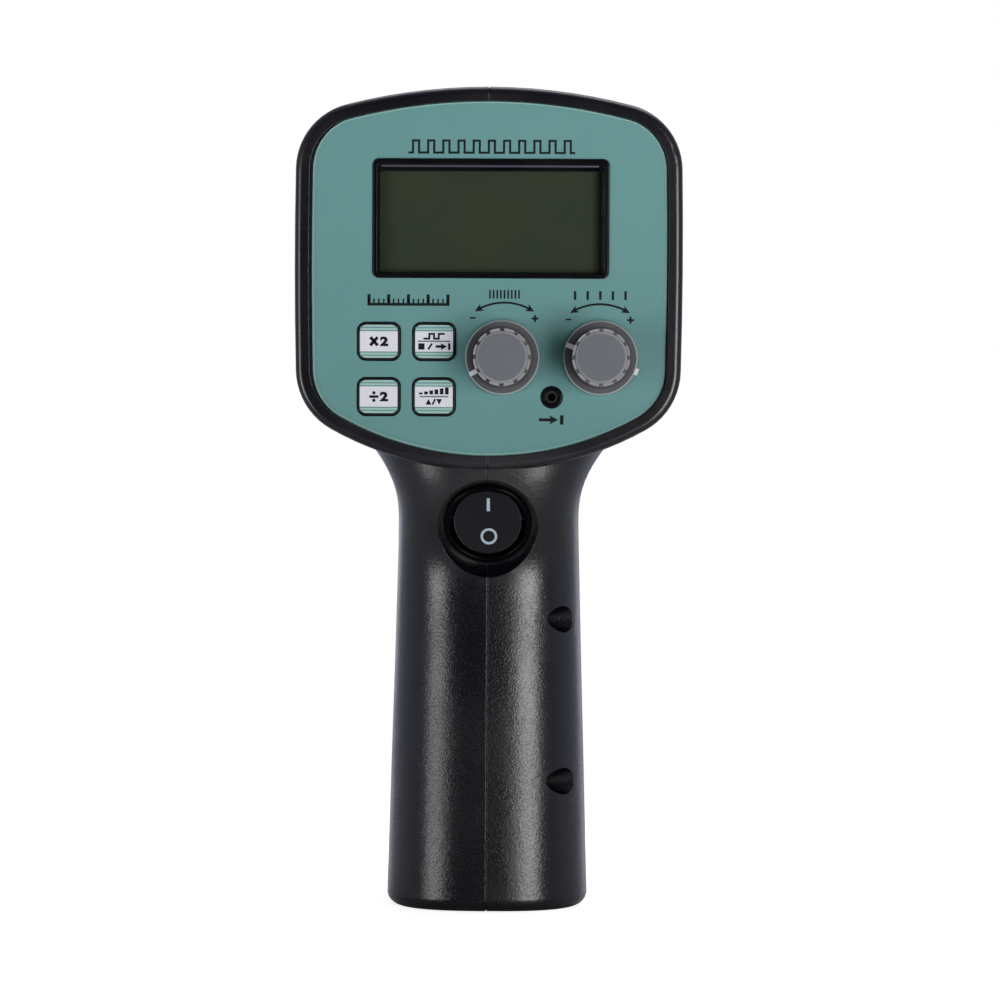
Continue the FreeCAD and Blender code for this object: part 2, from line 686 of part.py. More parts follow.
def case_bosses():
    """Everything that stands up inside the case, still as long as the case is wide."""
    bosses = []
    for y, z in case_screw_places():
        bosses.append(rod(WELL_POST_RADIUS, Vector(0, y, z), Vector(SPACE, y, z)))
        bosses.append(rod(PILOT_POST_RADIUS, Vector(0, y, z), Vector(-SPACE, y, z)))
    bosses.append(on_switch_seat(rod_y(POCKET_RADIUS + POCKET_WALL, 0, 0, -POCKET_REACH,
                                       POCKET_WALL)))
    bosses += board_rails() + core_shelves() + inlet_clamps()
    return bosses


def board_rails():
    """Four rails along the sides of the head, which hold the power board by its edges."""
    rails = []
    inner = POWER_BOARD_WIDTH / 2 - RAIL_REACH
    low = LAMP_Z - RAIL_HEIGHT / 2
    for side in (1, -1):
        ends = sorted((side * inner, side * SPACE))
        for y in (POWER_BOARD_Y - PANEL_PLAY - RIB, POWER_BOARD_Y + BOARD_THICKNESS + PANEL_PLAY):
            rails.append(block(ends, (y, y + RIB), (low, low + RAIL_HEIGHT)))
    return rails


def core_shelves():
    """Four shelves in the grip, which hold the transformer core from above and below."""
    shelves = []
    half_stack = CORE_STACK / 2
    for side in (1, -1):
        ends = sorted((side * (CORE_WIDTH / 2 - SHELF_REACH), side * SPACE))
        for z in (CORE_Z - PANEL_PLAY - RIB, CORE_Z + CORE_HEIGHT + PANEL_PLAY):
            shelves.append(block(ends, (CORE_Y - half_stack, CORE_Y + half_stack), (z, z + RIB)))
    return shelves


def inlet_clamps():
    """Two ribs over the flange of the mains inlet."""
    clamps = []
    low = WALL + INLET_FLANGE_THICKNESS + PANEL_PLAY
    half = INLET_CLAMP_WIDTH / 2
    for side in (1, -1):
        ends = sorted((side * (INLET_LENGTH / 2 + INLET_WALL + PANEL_PLAY), side * SPACE))
        clamps.append(block(ends, (INLET_Y - half, INLET_Y + half), (low, low + RIB)))
    return clamps


def case_openings():
    """Everything that is cut through or into the case from outside."""
    cuts = []
    for y, z in case_screw_places():
        cuts.append(rod(WELL_RADIUS, Vector(SCREW_WEB, y, z), Vector(SPACE, y, z)))
        cuts.append(rod(SCREW_RADIUS + SCREW_PLAY, Vector(0, y, z),
                        Vector(SCREW_WEB + 1, y, z)))
        depth = SCREW_LENGTH - SCREW_WEB + 1
        cuts.append(rod(SCREW_RADIUS + SCREW_FIT, Vector(-depth, y, z), Vector(0, y, z)))
    cuts.append(on_switch_seat(rod_y(POCKET_RADIUS, 0, 0, -POCKET_REACH - 3, 0)))
    cuts.append(on_switch_seat(rod_y(SWITCH_HOLE_RADIUS, 0, 0, -1, SWITCH_BODY_DEPTH)))
    cuts.append(stadium(INLET_LENGTH + 2 * INLET_WALL + PANEL_PLAY,
                        INLET_HEIGHT + 2 * INLET_WALL + PANEL_PLAY, -1, WALL + 1))
    pilot = SMALL_SCREW_RADIUS + SMALL_SCREW_FIT
    for angle in ring_screw_angles():
        cuts.append(ring_screw_rod(pilot, SPIGOT_RADIUS - 4, SPACE / 2, angle))
    return cuts


def housing():
    """Left and right halves of the case."""
    outside = case_form(0)
    bosses = union(case_bosses()).common(outside)
    shell = outside.cut(case_hollow()).fuse(bosses).cut(case_openings())
    seam = block((-SEAM_WIDTH / 2, SEAM_WIDTH / 2), (-SPACE, SPACE), (-1, HEIGHT + 1))
    shell = shell.cut(seam.cut(case_form(SEAM_DEPTH)))
    halves = {}
    for name, ends in (("housing_left", (-SPACE, 0)), ("housing_right", (0, SPACE))):
        half = shell.common(block(ends, (-SPACE, SPACE), (-1, HEIGHT + 1)))
        halves[name] = half
    return halves


def housing_screws():
    """Pan-head screws at the bottom of the wells."""
    screws = []
    long_half = SCREW_CROSS[0] / 2
    short_half = SCREW_CROSS[1] / 2
    for y, z in case_screw_places():
        under_head = Vector(SCREW_WEB, y, z)
        head = rod(SCREW_HEAD_RADIUS, under_head, Vector(SCREW_WEB + SCREW_HEAD_HEIGHT, y, z))
        floor = SCREW_WEB + SCREW_HEAD_HEIGHT - SCREW_CROSS[2]
        for half_y, half_z in ((long_half, short_half), (short_half, long_half)):
            arm = block((floor, floor + 2), (y - half_y, y + half_y), (z - half_z, z + half_z))
            head = head.cut(arm)
        shank = rod(SCREW_RADIUS, Vector(SCREW_WEB - SCREW_LENGTH, y, z), under_head)
        screws.append(head.fuse(shank).removeSplitter())
    return screws


# ------------------------------------------------------------------ control panel
def key_places():
    """Name, X and Z of each key."""
    left = KEY_BLOCK_X - KEY_PITCH / 2
    right = KEY_BLOCK_X + KEY_PITCH / 2
    high = LAMP_Z - KEY_BLOCK_DROP + KEY_PITCH / 2
    low = LAMP_Z - KEY_BLOCK_DROP - KEY_PITCH / 2
    return (("key_times_two", left, high), ("key_trigger", right, high),
            ("key_divide_two", left, low), ("key_range", right, low))


def panel_openings(y_start, y_end, bushing_radius):
    """Openings that the panel and its overlay share."""
    inner = 2 * BEZEL_FLANGE
    cuts = [plate(DISPLAY_WIDTH - inner, DISPLAY_HEIGHT - inner, DISPLAY_CORNER - BEZEL_FLANGE,
                  DISPLAY_X, DISPLAY_Z, y_start, y_end)]
    for _, x, z in key_places():
        cuts.append(plate(KEY_WIDTH + 2 * FIT_GAP, KEY_HEIGHT + 2 * FIT_GAP,
                          KEY_CORNER + FIT_GAP, x, z, y_start, y_end))
    for x in (FINE_KNOB_X, COARSE_KNOB_X):
        cuts.append(rod_y(bushing_radius, x, KNOB_Z, y_start, y_end))
    cuts.append(rod_y(JACK_RADIUS + JACK_PLAY, JACK_X, JACK_Z, y_start, y_end))
    return cuts


def control_panel():
    """Panel plate with the posts that carry the control board."""
    solid = head_plate(RIM_WIDTH - LIP_OVERLAP + FIT_GAP, PANEL_FRONT_Y, PANEL_BACK_Y)
    solid = solid.cut(panel_openings(PANEL_FRONT_Y - 1, PANEL_BACK_Y + 1, BUSHING_RADIUS + 0.1))
    for x, rise in BOARD_POSTS:
        post = rod_y(POST_RADIUS, x, LAMP_Z + rise, PANEL_BACK_Y, CONTROL_BOARD_Y)
        pilot = rod_y(SMALL_SCREW_RADIUS + SMALL_SCREW_FIT, x, LAMP_Z + rise,
                      CONTROL_BOARD_Y - SMALL_SCREW_LENGTH - 1, CONTROL_BOARD_Y + 1)
        solid = solid.fuse(post).cut(pilot)
    return solid.removeSplitter()


def panel_overlay():
    """Printed sheet on the face of the panel."""
    solid = head_plate(RIM_WIDTH + FIT_GAP, OVERLAY_Y, PANEL_FRONT_Y)
    return solid.cut(panel_openings(OVERLAY_Y - 1, PANEL_FRONT_Y + 1, WASHER_RADIUS + 0.3))


def display_bezel():
    """Black frame of the display, with sloped inner faces and a rebate for the window."""
    front = OVERLAY_Y - BEZEL_FLANGE
    inner = 2 * BEZEL_FLANGE + 0.1
    flange = plate(DISPLAY_WIDTH, DISPLAY_HEIGHT, DISPLAY_CORNER, DISPLAY_X, DISPLAY_Z, front,
                   OVERLAY_Y)
    flange = flange.makeChamfer(BEZEL_EDGE, edges_at(flange, 1, front))
    body = plate(DISPLAY_WIDTH - inner, DISPLAY_HEIGHT - inner, DISPLAY_CORNER - BEZEL_FLANGE,
                 DISPLAY_X, DISPLAY_Z, OVERLAY_Y, PANEL_BACK_Y)
    view = plate(VIEW_WIDTH, VIEW_HEIGHT, VIEW_CORNER, DISPLAY_X, VIEW_Z, front - 1,
                 PANEL_BACK_Y + 1)
    face_x, face_z = BEZEL_FACE
    mouth = rounded_rectangle(DISPLAY_WIDTH - 2 * face_x, DISPLAY_HEIGHT - 2 * face_z,
                              DISPLAY_CORNER - 0.7, DISPLAY_X, front - OVERCUT, DISPLAY_Z - 0.15)
    throat = rounded_rectangle(VIEW_WIDTH, VIEW_HEIGHT, VIEW_CORNER, DISPLAY_X,
                               front + BEZEL_SLOPE_DEPTH, VIEW_Z)
    slopes = Part.makeLoft([mouth, throat], True, True)
    play = 2 * (WINDOW_OVERLAP + WINDOW_PLAY)
    rebate = plate(VIEW_WIDTH + play, VIEW_HEIGHT + play, VIEW_CORNER, DISPLAY_X, VIEW_Z,
                   WINDOW_Y, PANEL_BACK_Y + 1)
    return flange.fuse(body).cut([view, slopes, rebate]).removeSplitter()


def display_window():
    """Clear sheet in the rebate of the bezel."""
    overlap = 2 * WINDOW_OVERLAP
    return plate(VIEW_WIDTH + overlap, VIEW_HEIGHT + overlap, VIEW_CORNER - WINDOW_PLAY, DISPLAY_X,
                 VIEW_Z, WINDOW_Y, WINDOW_Y + WINDOW_THICKNESS)


def lcd_panel():
    """Glass of the display, with the thinner ledge that carries its contacts."""
    width = VIEW_WIDTH + 2 * GLASS_MARGIN
    height = VIEW_HEIGHT + 2 * GLASS_MARGIN
    solid = plate(width, height, 0.3, DISPLAY_X, VIEW_Z, GLASS_Y, GLASS_Y + GLASS_THICKNESS)
    low = VIEW_Z - height / 2
    step = block((-SPACE, SPACE), (GLASS_Y - 1, GLASS_Y + GLASS_THICKNESS / 2),
                 (low - 1, low + CONTACT_LEDGE))
    return solid.cut(step)


def lcd_holder():
    """Frame that carries the glass on the control board."""
    width = VIEW_WIDTH + 2 * GLASS_MARGIN
    height = VIEW_HEIGHT + 2 * GLASS_MARGIN
    back = GLASS_Y + GLASS_THICKNESS
    solid = plate(width + 2 * HOLDER_WALL, height + 2 * HOLDER_WALL, 1.5, DISPLAY_X, VIEW_Z,
                  PANEL_BACK_Y + GLASS_PLAY / 2, CONTROL_BOARD_Y)
    seat = plate(width + GLASS_PLAY, height + GLASS_PLAY, 0.4, DISPLAY_X, VIEW_Z,
                 PANEL_BACK_Y - 1, back)
    hollow = plate(width - 4, height - 4, 0.4, DISPLAY_X, VIEW_Z, back - OVERCUT,
                   CONTROL_BOARD_Y + 1)
    return solid.cut([seat, hollow])


def contact_strips():
    """Two elastic strips that join the glass to the control board."""
    strips = []
    reach = VIEW_HEIGHT / 2 - 0.7
    half = STRIP_THICKNESS / 2
    for z in (VIEW_Z - reach, VIEW_Z + reach):
        strips.append(block((DISPLAY_X - VIEW_WIDTH / 2, DISPLAY_X + VIEW_WIDTH / 2),
                            (GLASS_Y + GLASS_THICKNESS, CONTROL_BOARD_Y), (z - half, z + half)))
    return strips


def key(x, z):
    """Key cap with its retaining flange and its plunger."""
    front = OVERLAY_Y - KEY_PROUD
    back = PANEL_BACK_Y + KEY_GAP
    cap = plate(KEY_WIDTH, KEY_HEIGHT, KEY_CORNER, x, z, front, back)
    cap = cap.makeFillet(KEY_EDGE, edges_at(cap, 1, front))
    flange = plate(KEY_WIDTH + 2 * KEY_FLANGE, KEY_HEIGHT + 2 * KEY_FLANGE, KEY_CORNER, x, z,
                   back, back + KEY_FLANGE_THICKNESS)
    plunger = rod_y(PLUNGER_RADIUS, x, z, back + KEY_FLANGE_THICKNESS,
                    tact_button_y() - KEY_TRAVEL - KEY_GAP / 2)
    return union([cap, flange, plunger])


def tact_button_y():
    """Front of a key switch's button when it is pressed home."""
    return CONTROL_BOARD_Y - TACT_HEIGHT - TACT_BUTTON_HEIGHT


def key_switches():
    """Four push switches on the control board."""
    half = TACT_SIZE / 2
    switches = []
    for _, x, z in key_places():
        body = block((x - half, x + half), (CONTROL_BOARD_Y - TACT_HEIGHT, CONTROL_BOARD_Y),
                     (z - half, z + half))
        button = rod_y(TACT_BUTTON_RADIUS, x, z, tact_button_y(), CONTROL_BOARD_Y - TACT_HEIGHT)
        switches.append(body.fuse(button))
    return switches


def control_board():
    """Board behind the panel, held by the panel's posts."""
    solid = head_plate(CONTROL_BOARD_INSET, CONTROL_BOARD_Y, CONTROL_BOARD_BACK_Y)
    for x, rise in BOARD_POSTS:
        solid = solid.cut(rod_y(BOARD_HOLE_RADIUS, x, LAMP_Z + rise, CONTROL_BOARD_Y - 1,
                                CONTROL_BOARD_BACK_Y + 1))
    return solid


def board_screws():
    """Small screws that hold the control board."""
    screws = []
    for x, rise in BOARD_POSTS:
        z = LAMP_Z + rise
        head = rod_y(SMALL_HEAD_RADIUS, x, z, CONTROL_BOARD_BACK_Y,
                     CONTROL_BOARD_BACK_Y + SMALL_HEAD_HEIGHT)
        shank = rod_y(SMALL_SCREW_RADIUS, x, z, CONTROL_BOARD_Y - SMALL_SCREW_LENGTH,
                      CONTROL_BOARD_BACK_Y)
        screws.append(head.fuse(shank).removeSplitter())
    return screws


def control_chips():
    """Processor, driver, crystal and the header of the ribbon cable on the back of the board."""
    back = CONTROL_BOARD_BACK_Y
    chips = []
    for x_range, height, rise in (PROCESSOR, DISPLAY_DRIVER, CRYSTAL, HEADER):
        chips.append(block(x_range, (back, back + height), (LAMP_Z + rise[0], LAMP_Z + rise[1])))
    for x in SMALL_CAN_X:
        chips.append(rod_y(SMALL_CAN_RADIUS, x, LAMP_Z - 2, back, back + SMALL_CAN_HEIGHT))
    return chips


# ------------------------------------------------------------------ knobs and what they turn
def d_bar(radius, y_start, y_end, x):
    """Round bar with one flat."""
    flat = block((x - SPACE, x + SPACE), (y_start - 1, y_end + 1),
                 (KNOB_Z + SHAFT_FLAT, KNOB_Z + SPACE))
    return rod_y(radius, x, KNOB_Z, y_start, y_end).cut(flat)


def turned(shape, x, angle):
    """Turns a knob piece from pointing along +X to its own angle."""
    placed = shape.copy()
    placed.rotate(Vector(x, 0, KNOB_Z), Vector(0, -1, 0), angle)
    return placed


def pointer_slot(x, gap):
    """Pointer line on the skirt, running over its edge."""
    half = POINTER_WIDTH / 2 + gap
    face = block((x + KNOB_RADIUS - 0.2, x + KNOB_SKIRT_RADIUS + 0.05),
                 (SKIRT_FRONT_Y - 0.05, SKIRT_FRONT_Y + POINTER_DEPTH + gap),
                 (KNOB_Z - half, KNOB_Z + half))
    edge = block((x + KNOB_SKIRT_RADIUS - POINTER_DEPTH - gap, x + KNOB_SKIRT_RADIUS + 0.05),
                 (SKIRT_FRONT_Y - 0.05, SKIRT_BACK_Y - 0.3), (KNOB_Z - half, KNOB_Z + half))
    return face.fuse(edge).removeSplitter()


def pip_slot(x, gap):
    """Short mark on the far side of the skirt's edge."""
    half = PIP_WIDTH / 2 + gap
    return block((x - KNOB_SKIRT_RADIUS - PIP_PROUD, x - KNOB_SKIRT_RADIUS + 1.0 + gap),
                 (SKIRT_FRONT_Y + 0.5 - gap, SKIRT_BACK_Y - 0.3 + gap),
                 (KNOB_Z - half, KNOB_Z + half))


def knob(x, angle, with_pip):
    """Skirted knob with a notched barrel and a bevelled cap."""
    skirt = rod_y(KNOB_SKIRT_RADIUS, x, KNOB_Z, SKIRT_FRONT_Y, SKIRT_BACK_Y)
    skirt = skirt.makeFillet(KNOB_SKIRT_EDGE, edges_at(skirt, 1, SKIRT_FRONT_Y))
    cap_y = KNOB_TOP_Y + KNOB_CAP_HEIGHT
    barrel = Part.makeCone(KNOB_RADIUS, KNOB_RADIUS - KNOB_TAPER, SKIRT_FRONT_Y - cap_y,
                           Vector(x, SKIRT_FRONT_Y, KNOB_Z), Vector(0, -1, 0))
    for index in range(KNOB_NOTCHES):
        turn = 2 * math.pi * index / KNOB_NOTCHES
        reach = KNOB_RADIUS + 0.1
        barrel = barrel.cut(rod_y(KNOB_NOTCH_RADIUS, x + reach * math.cos(turn),
                                  KNOB_Z + reach * math.sin(turn), cap_y - 1,
                                  SKIRT_FRONT_Y - 0.4))
    cap = rod_y(KNOB_CAP_RADIUS, x, KNOB_Z, KNOB_TOP_Y, cap_y + OVERCUT)
    cap = cap.makeChamfer(KNOB_CAP_BEVEL, edges_at(cap, 1, KNOB_TOP_Y))
    solid = union([skirt, barrel, cap])
    recess = rod_y(KNOB_RADIUS - 0.4, x, KNOB_Z, SKIRT_BACK_Y - KNOB_RECESS, SKIRT_BACK_Y + 1)
    bore = d_bar(SHAFT_RADIUS + SHAFT_CLEARANCE, shaft_end_y() - 0.3, SKIRT_BACK_Y, x)
    cuts = [recess, bore, pointer_slot(x, INLAY_GAP)]
    if with_pip:
        cuts.append(pip_slot(x, INLAY_GAP))
    return turned(solid.cut(cuts), x, angle)


def shaft_end_y():
    """Outer end of a potentiometer shaft, inside its knob."""
    return KNOB_TOP_Y + SHAFT_DROP


def pointer(x, angle):
    """White line let into the skirt."""
    rim_cylinder = rod_y(KNOB_SKIRT_RADIUS, x, KNOB_Z, SKIRT_FRONT_Y, SKIRT_BACK_Y)
    rim_cylinder = rim_cylinder.makeFillet(KNOB_SKIRT_EDGE,
                                           edges_at(rim_cylinder, 1, SKIRT_FRONT_Y))
    inlay = pointer_slot(x, 0).common(rim_cylinder)
    barrel = rod_y(KNOB_RADIUS + 0.03, x, KNOB_Z, SKIRT_FRONT_Y - 1, SKIRT_BACK_Y)
    return turned(inlay.cut(barrel), x, angle)


def pot_shaft(x, angle):
    """Shaft of a potentiometer: round in its bushing, with a flat inside the knob."""
    flat_end = SKIRT_BACK_Y - KNOB_RECESS
    inner = rod_y(SHAFT_RADIUS, x, KNOB_Z, flat_end, PANEL_BACK_Y + POT_BORE_DEPTH)
    outer = d_bar(SHAFT_RADIUS, shaft_end_y(), flat_end, x)
    return turned(inner.fuse(outer).removeSplitter(), x, angle)


def potentiometer(x):
    """Round potentiometer behind the panel, with its bushing and terminal block."""
    back = PANEL_BACK_Y + POT_DEPTH
    can = rod_y(POT_RADIUS, x, KNOB_Z, PANEL_BACK_Y, back)
    can = can.makeFillet(POT_EDGE, edges_at(can, 1, back))
    half = TERMINAL_BLOCK_WIDTH / 2
    y_range = [PANEL_BACK_Y + depth for depth in TERMINAL_BLOCK_Y]
    terminal_block = block((x - half, x + half), y_range,
                           (KNOB_Z - POT_RADIUS - TERMINAL_DROP, KNOB_Z - POT_RADIUS / 2))
    bushing = rod_y(BUSHING_RADIUS, x, KNOB_Z, SKIRT_BACK_Y - KNOB_RECESS + 0.3, PANEL_BACK_Y)
    bore = rod_y(SHAFT_RADIUS + SHAFT_CLEARANCE, x, KNOB_Z, SKIRT_BACK_Y - 2,
                 PANEL_BACK_Y + POT_BORE_DEPTH + PANEL_PLAY)
    return union([can, terminal_block, bushing]).cut(bore)


def pot_terminals():
    """Three pins from each potentiometer to the control board."""
    pins = []
    low = KNOB_Z - POT_RADIUS - TERMINAL_DROP + 0.5
    half = TERMINAL_WIDTH / 2
    for x in (FINE_KNOB_X, COARSE_KNOB_X):
        for step in (-TERMINAL_PITCH, 0, TERMINAL_PITCH):
            pins.append(block((x + step - half, x + step + half),
                              (PANEL_BACK_Y + TERMINAL_BLOCK_Y[1], CONTROL_BOARD_Y),
                              (low, low + TERMINAL_THICKNESS)))
    return pins


def pot_nuts():
    """Hexagon nuts on the bushings, in front of their washers."""
    nuts = []
    face = PANEL_FRONT_Y - WASHER_THICKNESS
    for x in (FINE_KNOB_X, COARSE_KNOB_X):
        corner = NUT_FLATS / math.sqrt(3)
        points = []
        for index in range(7):
            turn = math.radians(60 * index)
            points.append(Vector(x + corner * math.cos(turn), face,
                                 KNOB_Z + corner * math.sin(turn)))
        nut = Part.Face(Part.makePolygon(points)).extrude(Vector(0, -NUT_THICKNESS, 0))
        thread = rod_y(BUSHING_RADIUS + SMALL_SCREW_FIT, x, KNOB_Z, face - SPACE, face + 1)
        nuts.append(nut.cut(thread))
    return nuts


def pot_washers():
    """Washers between the nuts and the panel."""
    return [ring_y(WASHER_RADIUS, BUSHING_RADIUS + 0.1, x, KNOB_Z,
                   PANEL_FRONT_Y - WASHER_THICKNESS, PANEL_FRONT_Y)
            for x in (FINE_KNOB_X, COARSE_KNOB_X)]


def trigger_jack():
    """Jack for the trigger signal: a round barrel through the panel and a square body."""
    front = OVERLAY_Y - JACK_PROUD
    half = JACK_BODY / 2
    barrel = rod_y(JACK_RADIUS, JACK_X, JACK_Z, front, PANEL_BACK_Y)
    barrel = barrel.makeChamfer(JACK_EDGE, edges_at(barrel, 1, front))
    body = block((JACK_X - half, JACK_X + half), (PANEL_BACK_Y, CONTROL_BOARD_Y),
                 (JACK_Z - half, JACK_Z + half))
    bore = rod_y(JACK_BORE_RADIUS, JACK_X, JACK_Z, front - 1, front + JACK_DEPTH)
    return barrel.fuse(body).removeSplitter().cut(bore)


# ------------------------------------------------------------------ rocker switch
def switch_body():
    """Round body of the switch with its bezel, its well and the holes for the rocker's pins."""
    bezel = rod_y(SWITCH_BEZEL_RADIUS, 0, 0, -SWITCH_BEZEL_HEIGHT, 0)
    can = rod_y(SWITCH_HOLE_RADIUS - SWITCH_FIT, 0, 0, 0, SWITCH_BODY_DEPTH)
    mouth = rod_y(SWITCH_MOUTH_RADIUS, 0, 0, -SWITCH_BEZEL_HEIGHT - 1, SWITCH_MOUTH_DEPTH)
    well = rod_y(SWITCH_WELL_RADIUS, 0, 0, -1, SWITCH_WELL_DEPTH)
    pins = rod(ROCKER_PIN_RADIUS + ROCKER_PIN_CLEARANCE, Vector(-SPACE, ROCKER_PIVOT_DEPTH, 0),
               Vector(SPACE, ROCKER_PIVOT_DEPTH, 0))
    pins = pins.common(rod_y(SWITCH_HOLE_RADIUS - ROCKER_PIN_WALL, 0, 0, -1, SWITCH_BODY_DEPTH))
    solid = union([bezel, can]).cut([mouth, well, pins])
    solid = solid.makeFillet(SWITCH_BEZEL_EDGE, edges_at(solid, 1, -SWITCH_BEZEL_HEIGHT))
    return on_switch_seat(solid)


def switch_rocker():
    """Rocker with a hollowed face, resting with its upper half pressed in."""
    face = -SWITCH_BEZEL_HEIGHT - ROCKER_PROUD
    cap = Part.makeCone(ROCKER_RADIUS, ROCKER_RADIUS - ROCKER_TAPER, ROCKER_THICKNESS,
                        Vector(0, face, 0), Vector(0, 1, 0))
    cap = cap.makeFillet(ROCKER_EDGE, edges_at(cap, 1, face))
    hollow_y = face + ROCKER_HOLLOW_DEPTH - ROCKER_HOLLOW_RADIUS
    hollow = rod(ROCKER_HOLLOW_RADIUS, Vector(-SPACE, hollow_y, 0), Vector(SPACE, hollow_y, 0))
    half_x = ROCKER_SADDLE[0] / 2
    half_z = ROCKER_SADDLE[1] / 2
    saddle = block((-half_x, half_x),
                   (face + ROCKER_THICKNESS - OVERCUT, ROCKER_PIVOT_DEPTH + 1.5),
                   (-half_z, half_z))
    pin_end = SWITCH_HOLE_RADIUS - ROCKER_PIN_WALL - OVERCUT
    pins = rod(ROCKER_PIN_RADIUS, Vector(-pin_end, ROCKER_PIVOT_DEPTH, 0),
               Vector(pin_end, ROCKER_PIVOT_DEPTH, 0))
    solid = union([cap.cut(hollow), saddle, pins])
    solid.rotate(Vector(0, ROCKER_PIVOT_DEPTH, 0), Vector(1, 0, 0), -ROCKER_SWING / 2)
    return on_switch_seat(solid)


def switch_terminals():
    """Two flat tabs at the back of the switch."""
    tabs = []
    half = TAB_WIDTH / 2
    half_z = TAB_THICKNESS / 2
    for z in (-TAB_PLACE, TAB_PLACE):
        tab = block((-half, half), (SWITCH_BODY_DEPTH, SWITCH_BODY_DEPTH + TAB_LENGTH),
                    (z - half_z, z + half_z))
        tabs.append(on_switch_seat(tab))
    return tabs


# ------------------------------------------------------------------ lamp
def parabola_points(offset, inner_radius):
    """Points of the reflector's profile, from its hole to its rim."""
    points = []
    steps = 8
    for index in range(steps + 1):
        radius = inner_radius + (REFLECTOR_RADIUS - inner_radius) * index / steps
        y = REFLECTOR_VERTEX_Y + radius ** 2 / (4 * REFLECTOR_FOCUS) - offset
        points.append(Vector(radius, y, LAMP_Z))
    return points


def reflector():
    """Spun aluminium reflector: a parabola, a collar round the tube's base and a flat flange."""
    inner = Part.BSplineCurve()
    inner.interpolate(parabola_points(0, REFLECTOR_HOLE))
    outer = Part.BSplineCurve()
    outer.interpolate(parabola_points(REFLECTOR_WALL, REFLECTOR_HOLE + REFLECTOR_WALL))
    collar_y = inner.StartPoint.y - COLLAR_LENGTH
    rim_y = SPIGOT_END_Y
    corners = [inner.EndPoint, Vector(REFLECTOR_RADIUS, rim_y + REFLECTOR_WALL, LAMP_Z),
               Vector(LENS_RADIUS, rim_y + REFLECTOR_WALL, LAMP_Z),
               Vector(LENS_RADIUS, rim_y, LAMP_Z),
               Vector(REFLECTOR_RADIUS + REFLECTOR_WALL, rim_y, LAMP_Z), outer.EndPoint]
    edges = [inner.toShape(), outer.toShape()]
    for start, end in zip(corners, corners[1:]):
        edges.append(Part.LineSegment(start, end).toShape())
    hole = [inner.StartPoint, Vector(REFLECTOR_HOLE, collar_y, LAMP_Z),
            Vector(REFLECTOR_HOLE + REFLECTOR_WALL, collar_y, LAMP_Z), outer.StartPoint]
    for start, end in zip(hole, hole[1:]):
        edges.append(Part.LineSegment(start, end).toShape())
    face = Part.Face(Part.Wire(Part.__sortEdges__(edges)))
    return face.revolve(Vector(0, 0, LAMP_Z), Vector(0, 1, 0), 360)


def tube_base_back_y():
    """Back of the ceramic base, on the power board."""
    return POWER_BOARD_Y + BOARD_THICKNESS


def tube_base_front_y():
    """Front of the ceramic base, inside the reflector's collar."""
    return REFLECTOR_VERTEX_Y - TUBE_BASE_DROP


def u_tube(radius):
    """U of the given section, with its bend beyond the focus of the reflector."""
    start = tube_base_front_y() - TUBE_SEAT
    bend_y = REFLECTOR_VERTEX_Y + REFLECTOR_FOCUS
    legs = [rod_y(radius, x, LAMP_Z, start, bend_y) for x in (-TUBE_BEND, TUBE_BEND)]
    bend = Part.makeTorus(TUBE_BEND, radius, Vector(0, bend_y, LAMP_Z), Vector(0, 0, 1), -180,
                          180, 180)
    return union(legs + [bend])


def flash_tube():
    """Xenon tube of quartz glass, open at the two ends that its electrodes close."""
    return u_tube(TUBE_RADIUS).cut(u_tube(TUBE_RADIUS - TUBE_WALL))


def tube_electrodes():
    """Electrodes that close the ends of the tube, with pins down to the power board."""
    electrodes = []
    end = tube_base_front_y() - TUBE_SEAT
    plug_end = end + ELECTRODE_PLUG
    tip_radius, tip_length = ELECTRODE_TIP
    for x in (-TUBE_BEND, TUBE_BEND):
        plug = rod_y(TUBE_RADIUS - TUBE_WALL - 0.05, x, LAMP_Z, end, plug_end)
        tip = rod_y(tip_radius, x, LAMP_Z, plug_end, plug_end + tip_length)
        pin = rod_y(ELECTRODE_PIN_RADIUS, x, LAMP_Z, tube_base_back_y(), end)
        electrodes.append(union([plug, tip, pin]))
    return electrodes


def tube_base():
    """Ceramic base of the tube, standing on the power board inside the reflector's collar."""
    front = tube_base_front_y()
    solid = rod_y(TUBE_BASE_RADIUS, 0, LAMP_Z, tube_base_back_y(), front)
    solid = solid.makeChamfer(0.6, edges_at(solid, 1, front))
    cuts = []
    for x in (-TUBE_BEND, TUBE_BEND):
        cuts.append(rod_y(TUBE_RADIUS + 0.1, x, LAMP_Z, front - TUBE_SEAT, front + 1))
        cuts.append(rod_y(ELECTRODE_PIN_RADIUS + 0.05, x, LAMP_Z, 0, front - TUBE_SEAT + 1))
    cuts.append(rod_y(TRIGGER_WIRE_RADIUS + 0.1, 0, LAMP_Z - TRIGGER_WIRE_DROP, 0, front + 1))
    return solid.cut(cuts)


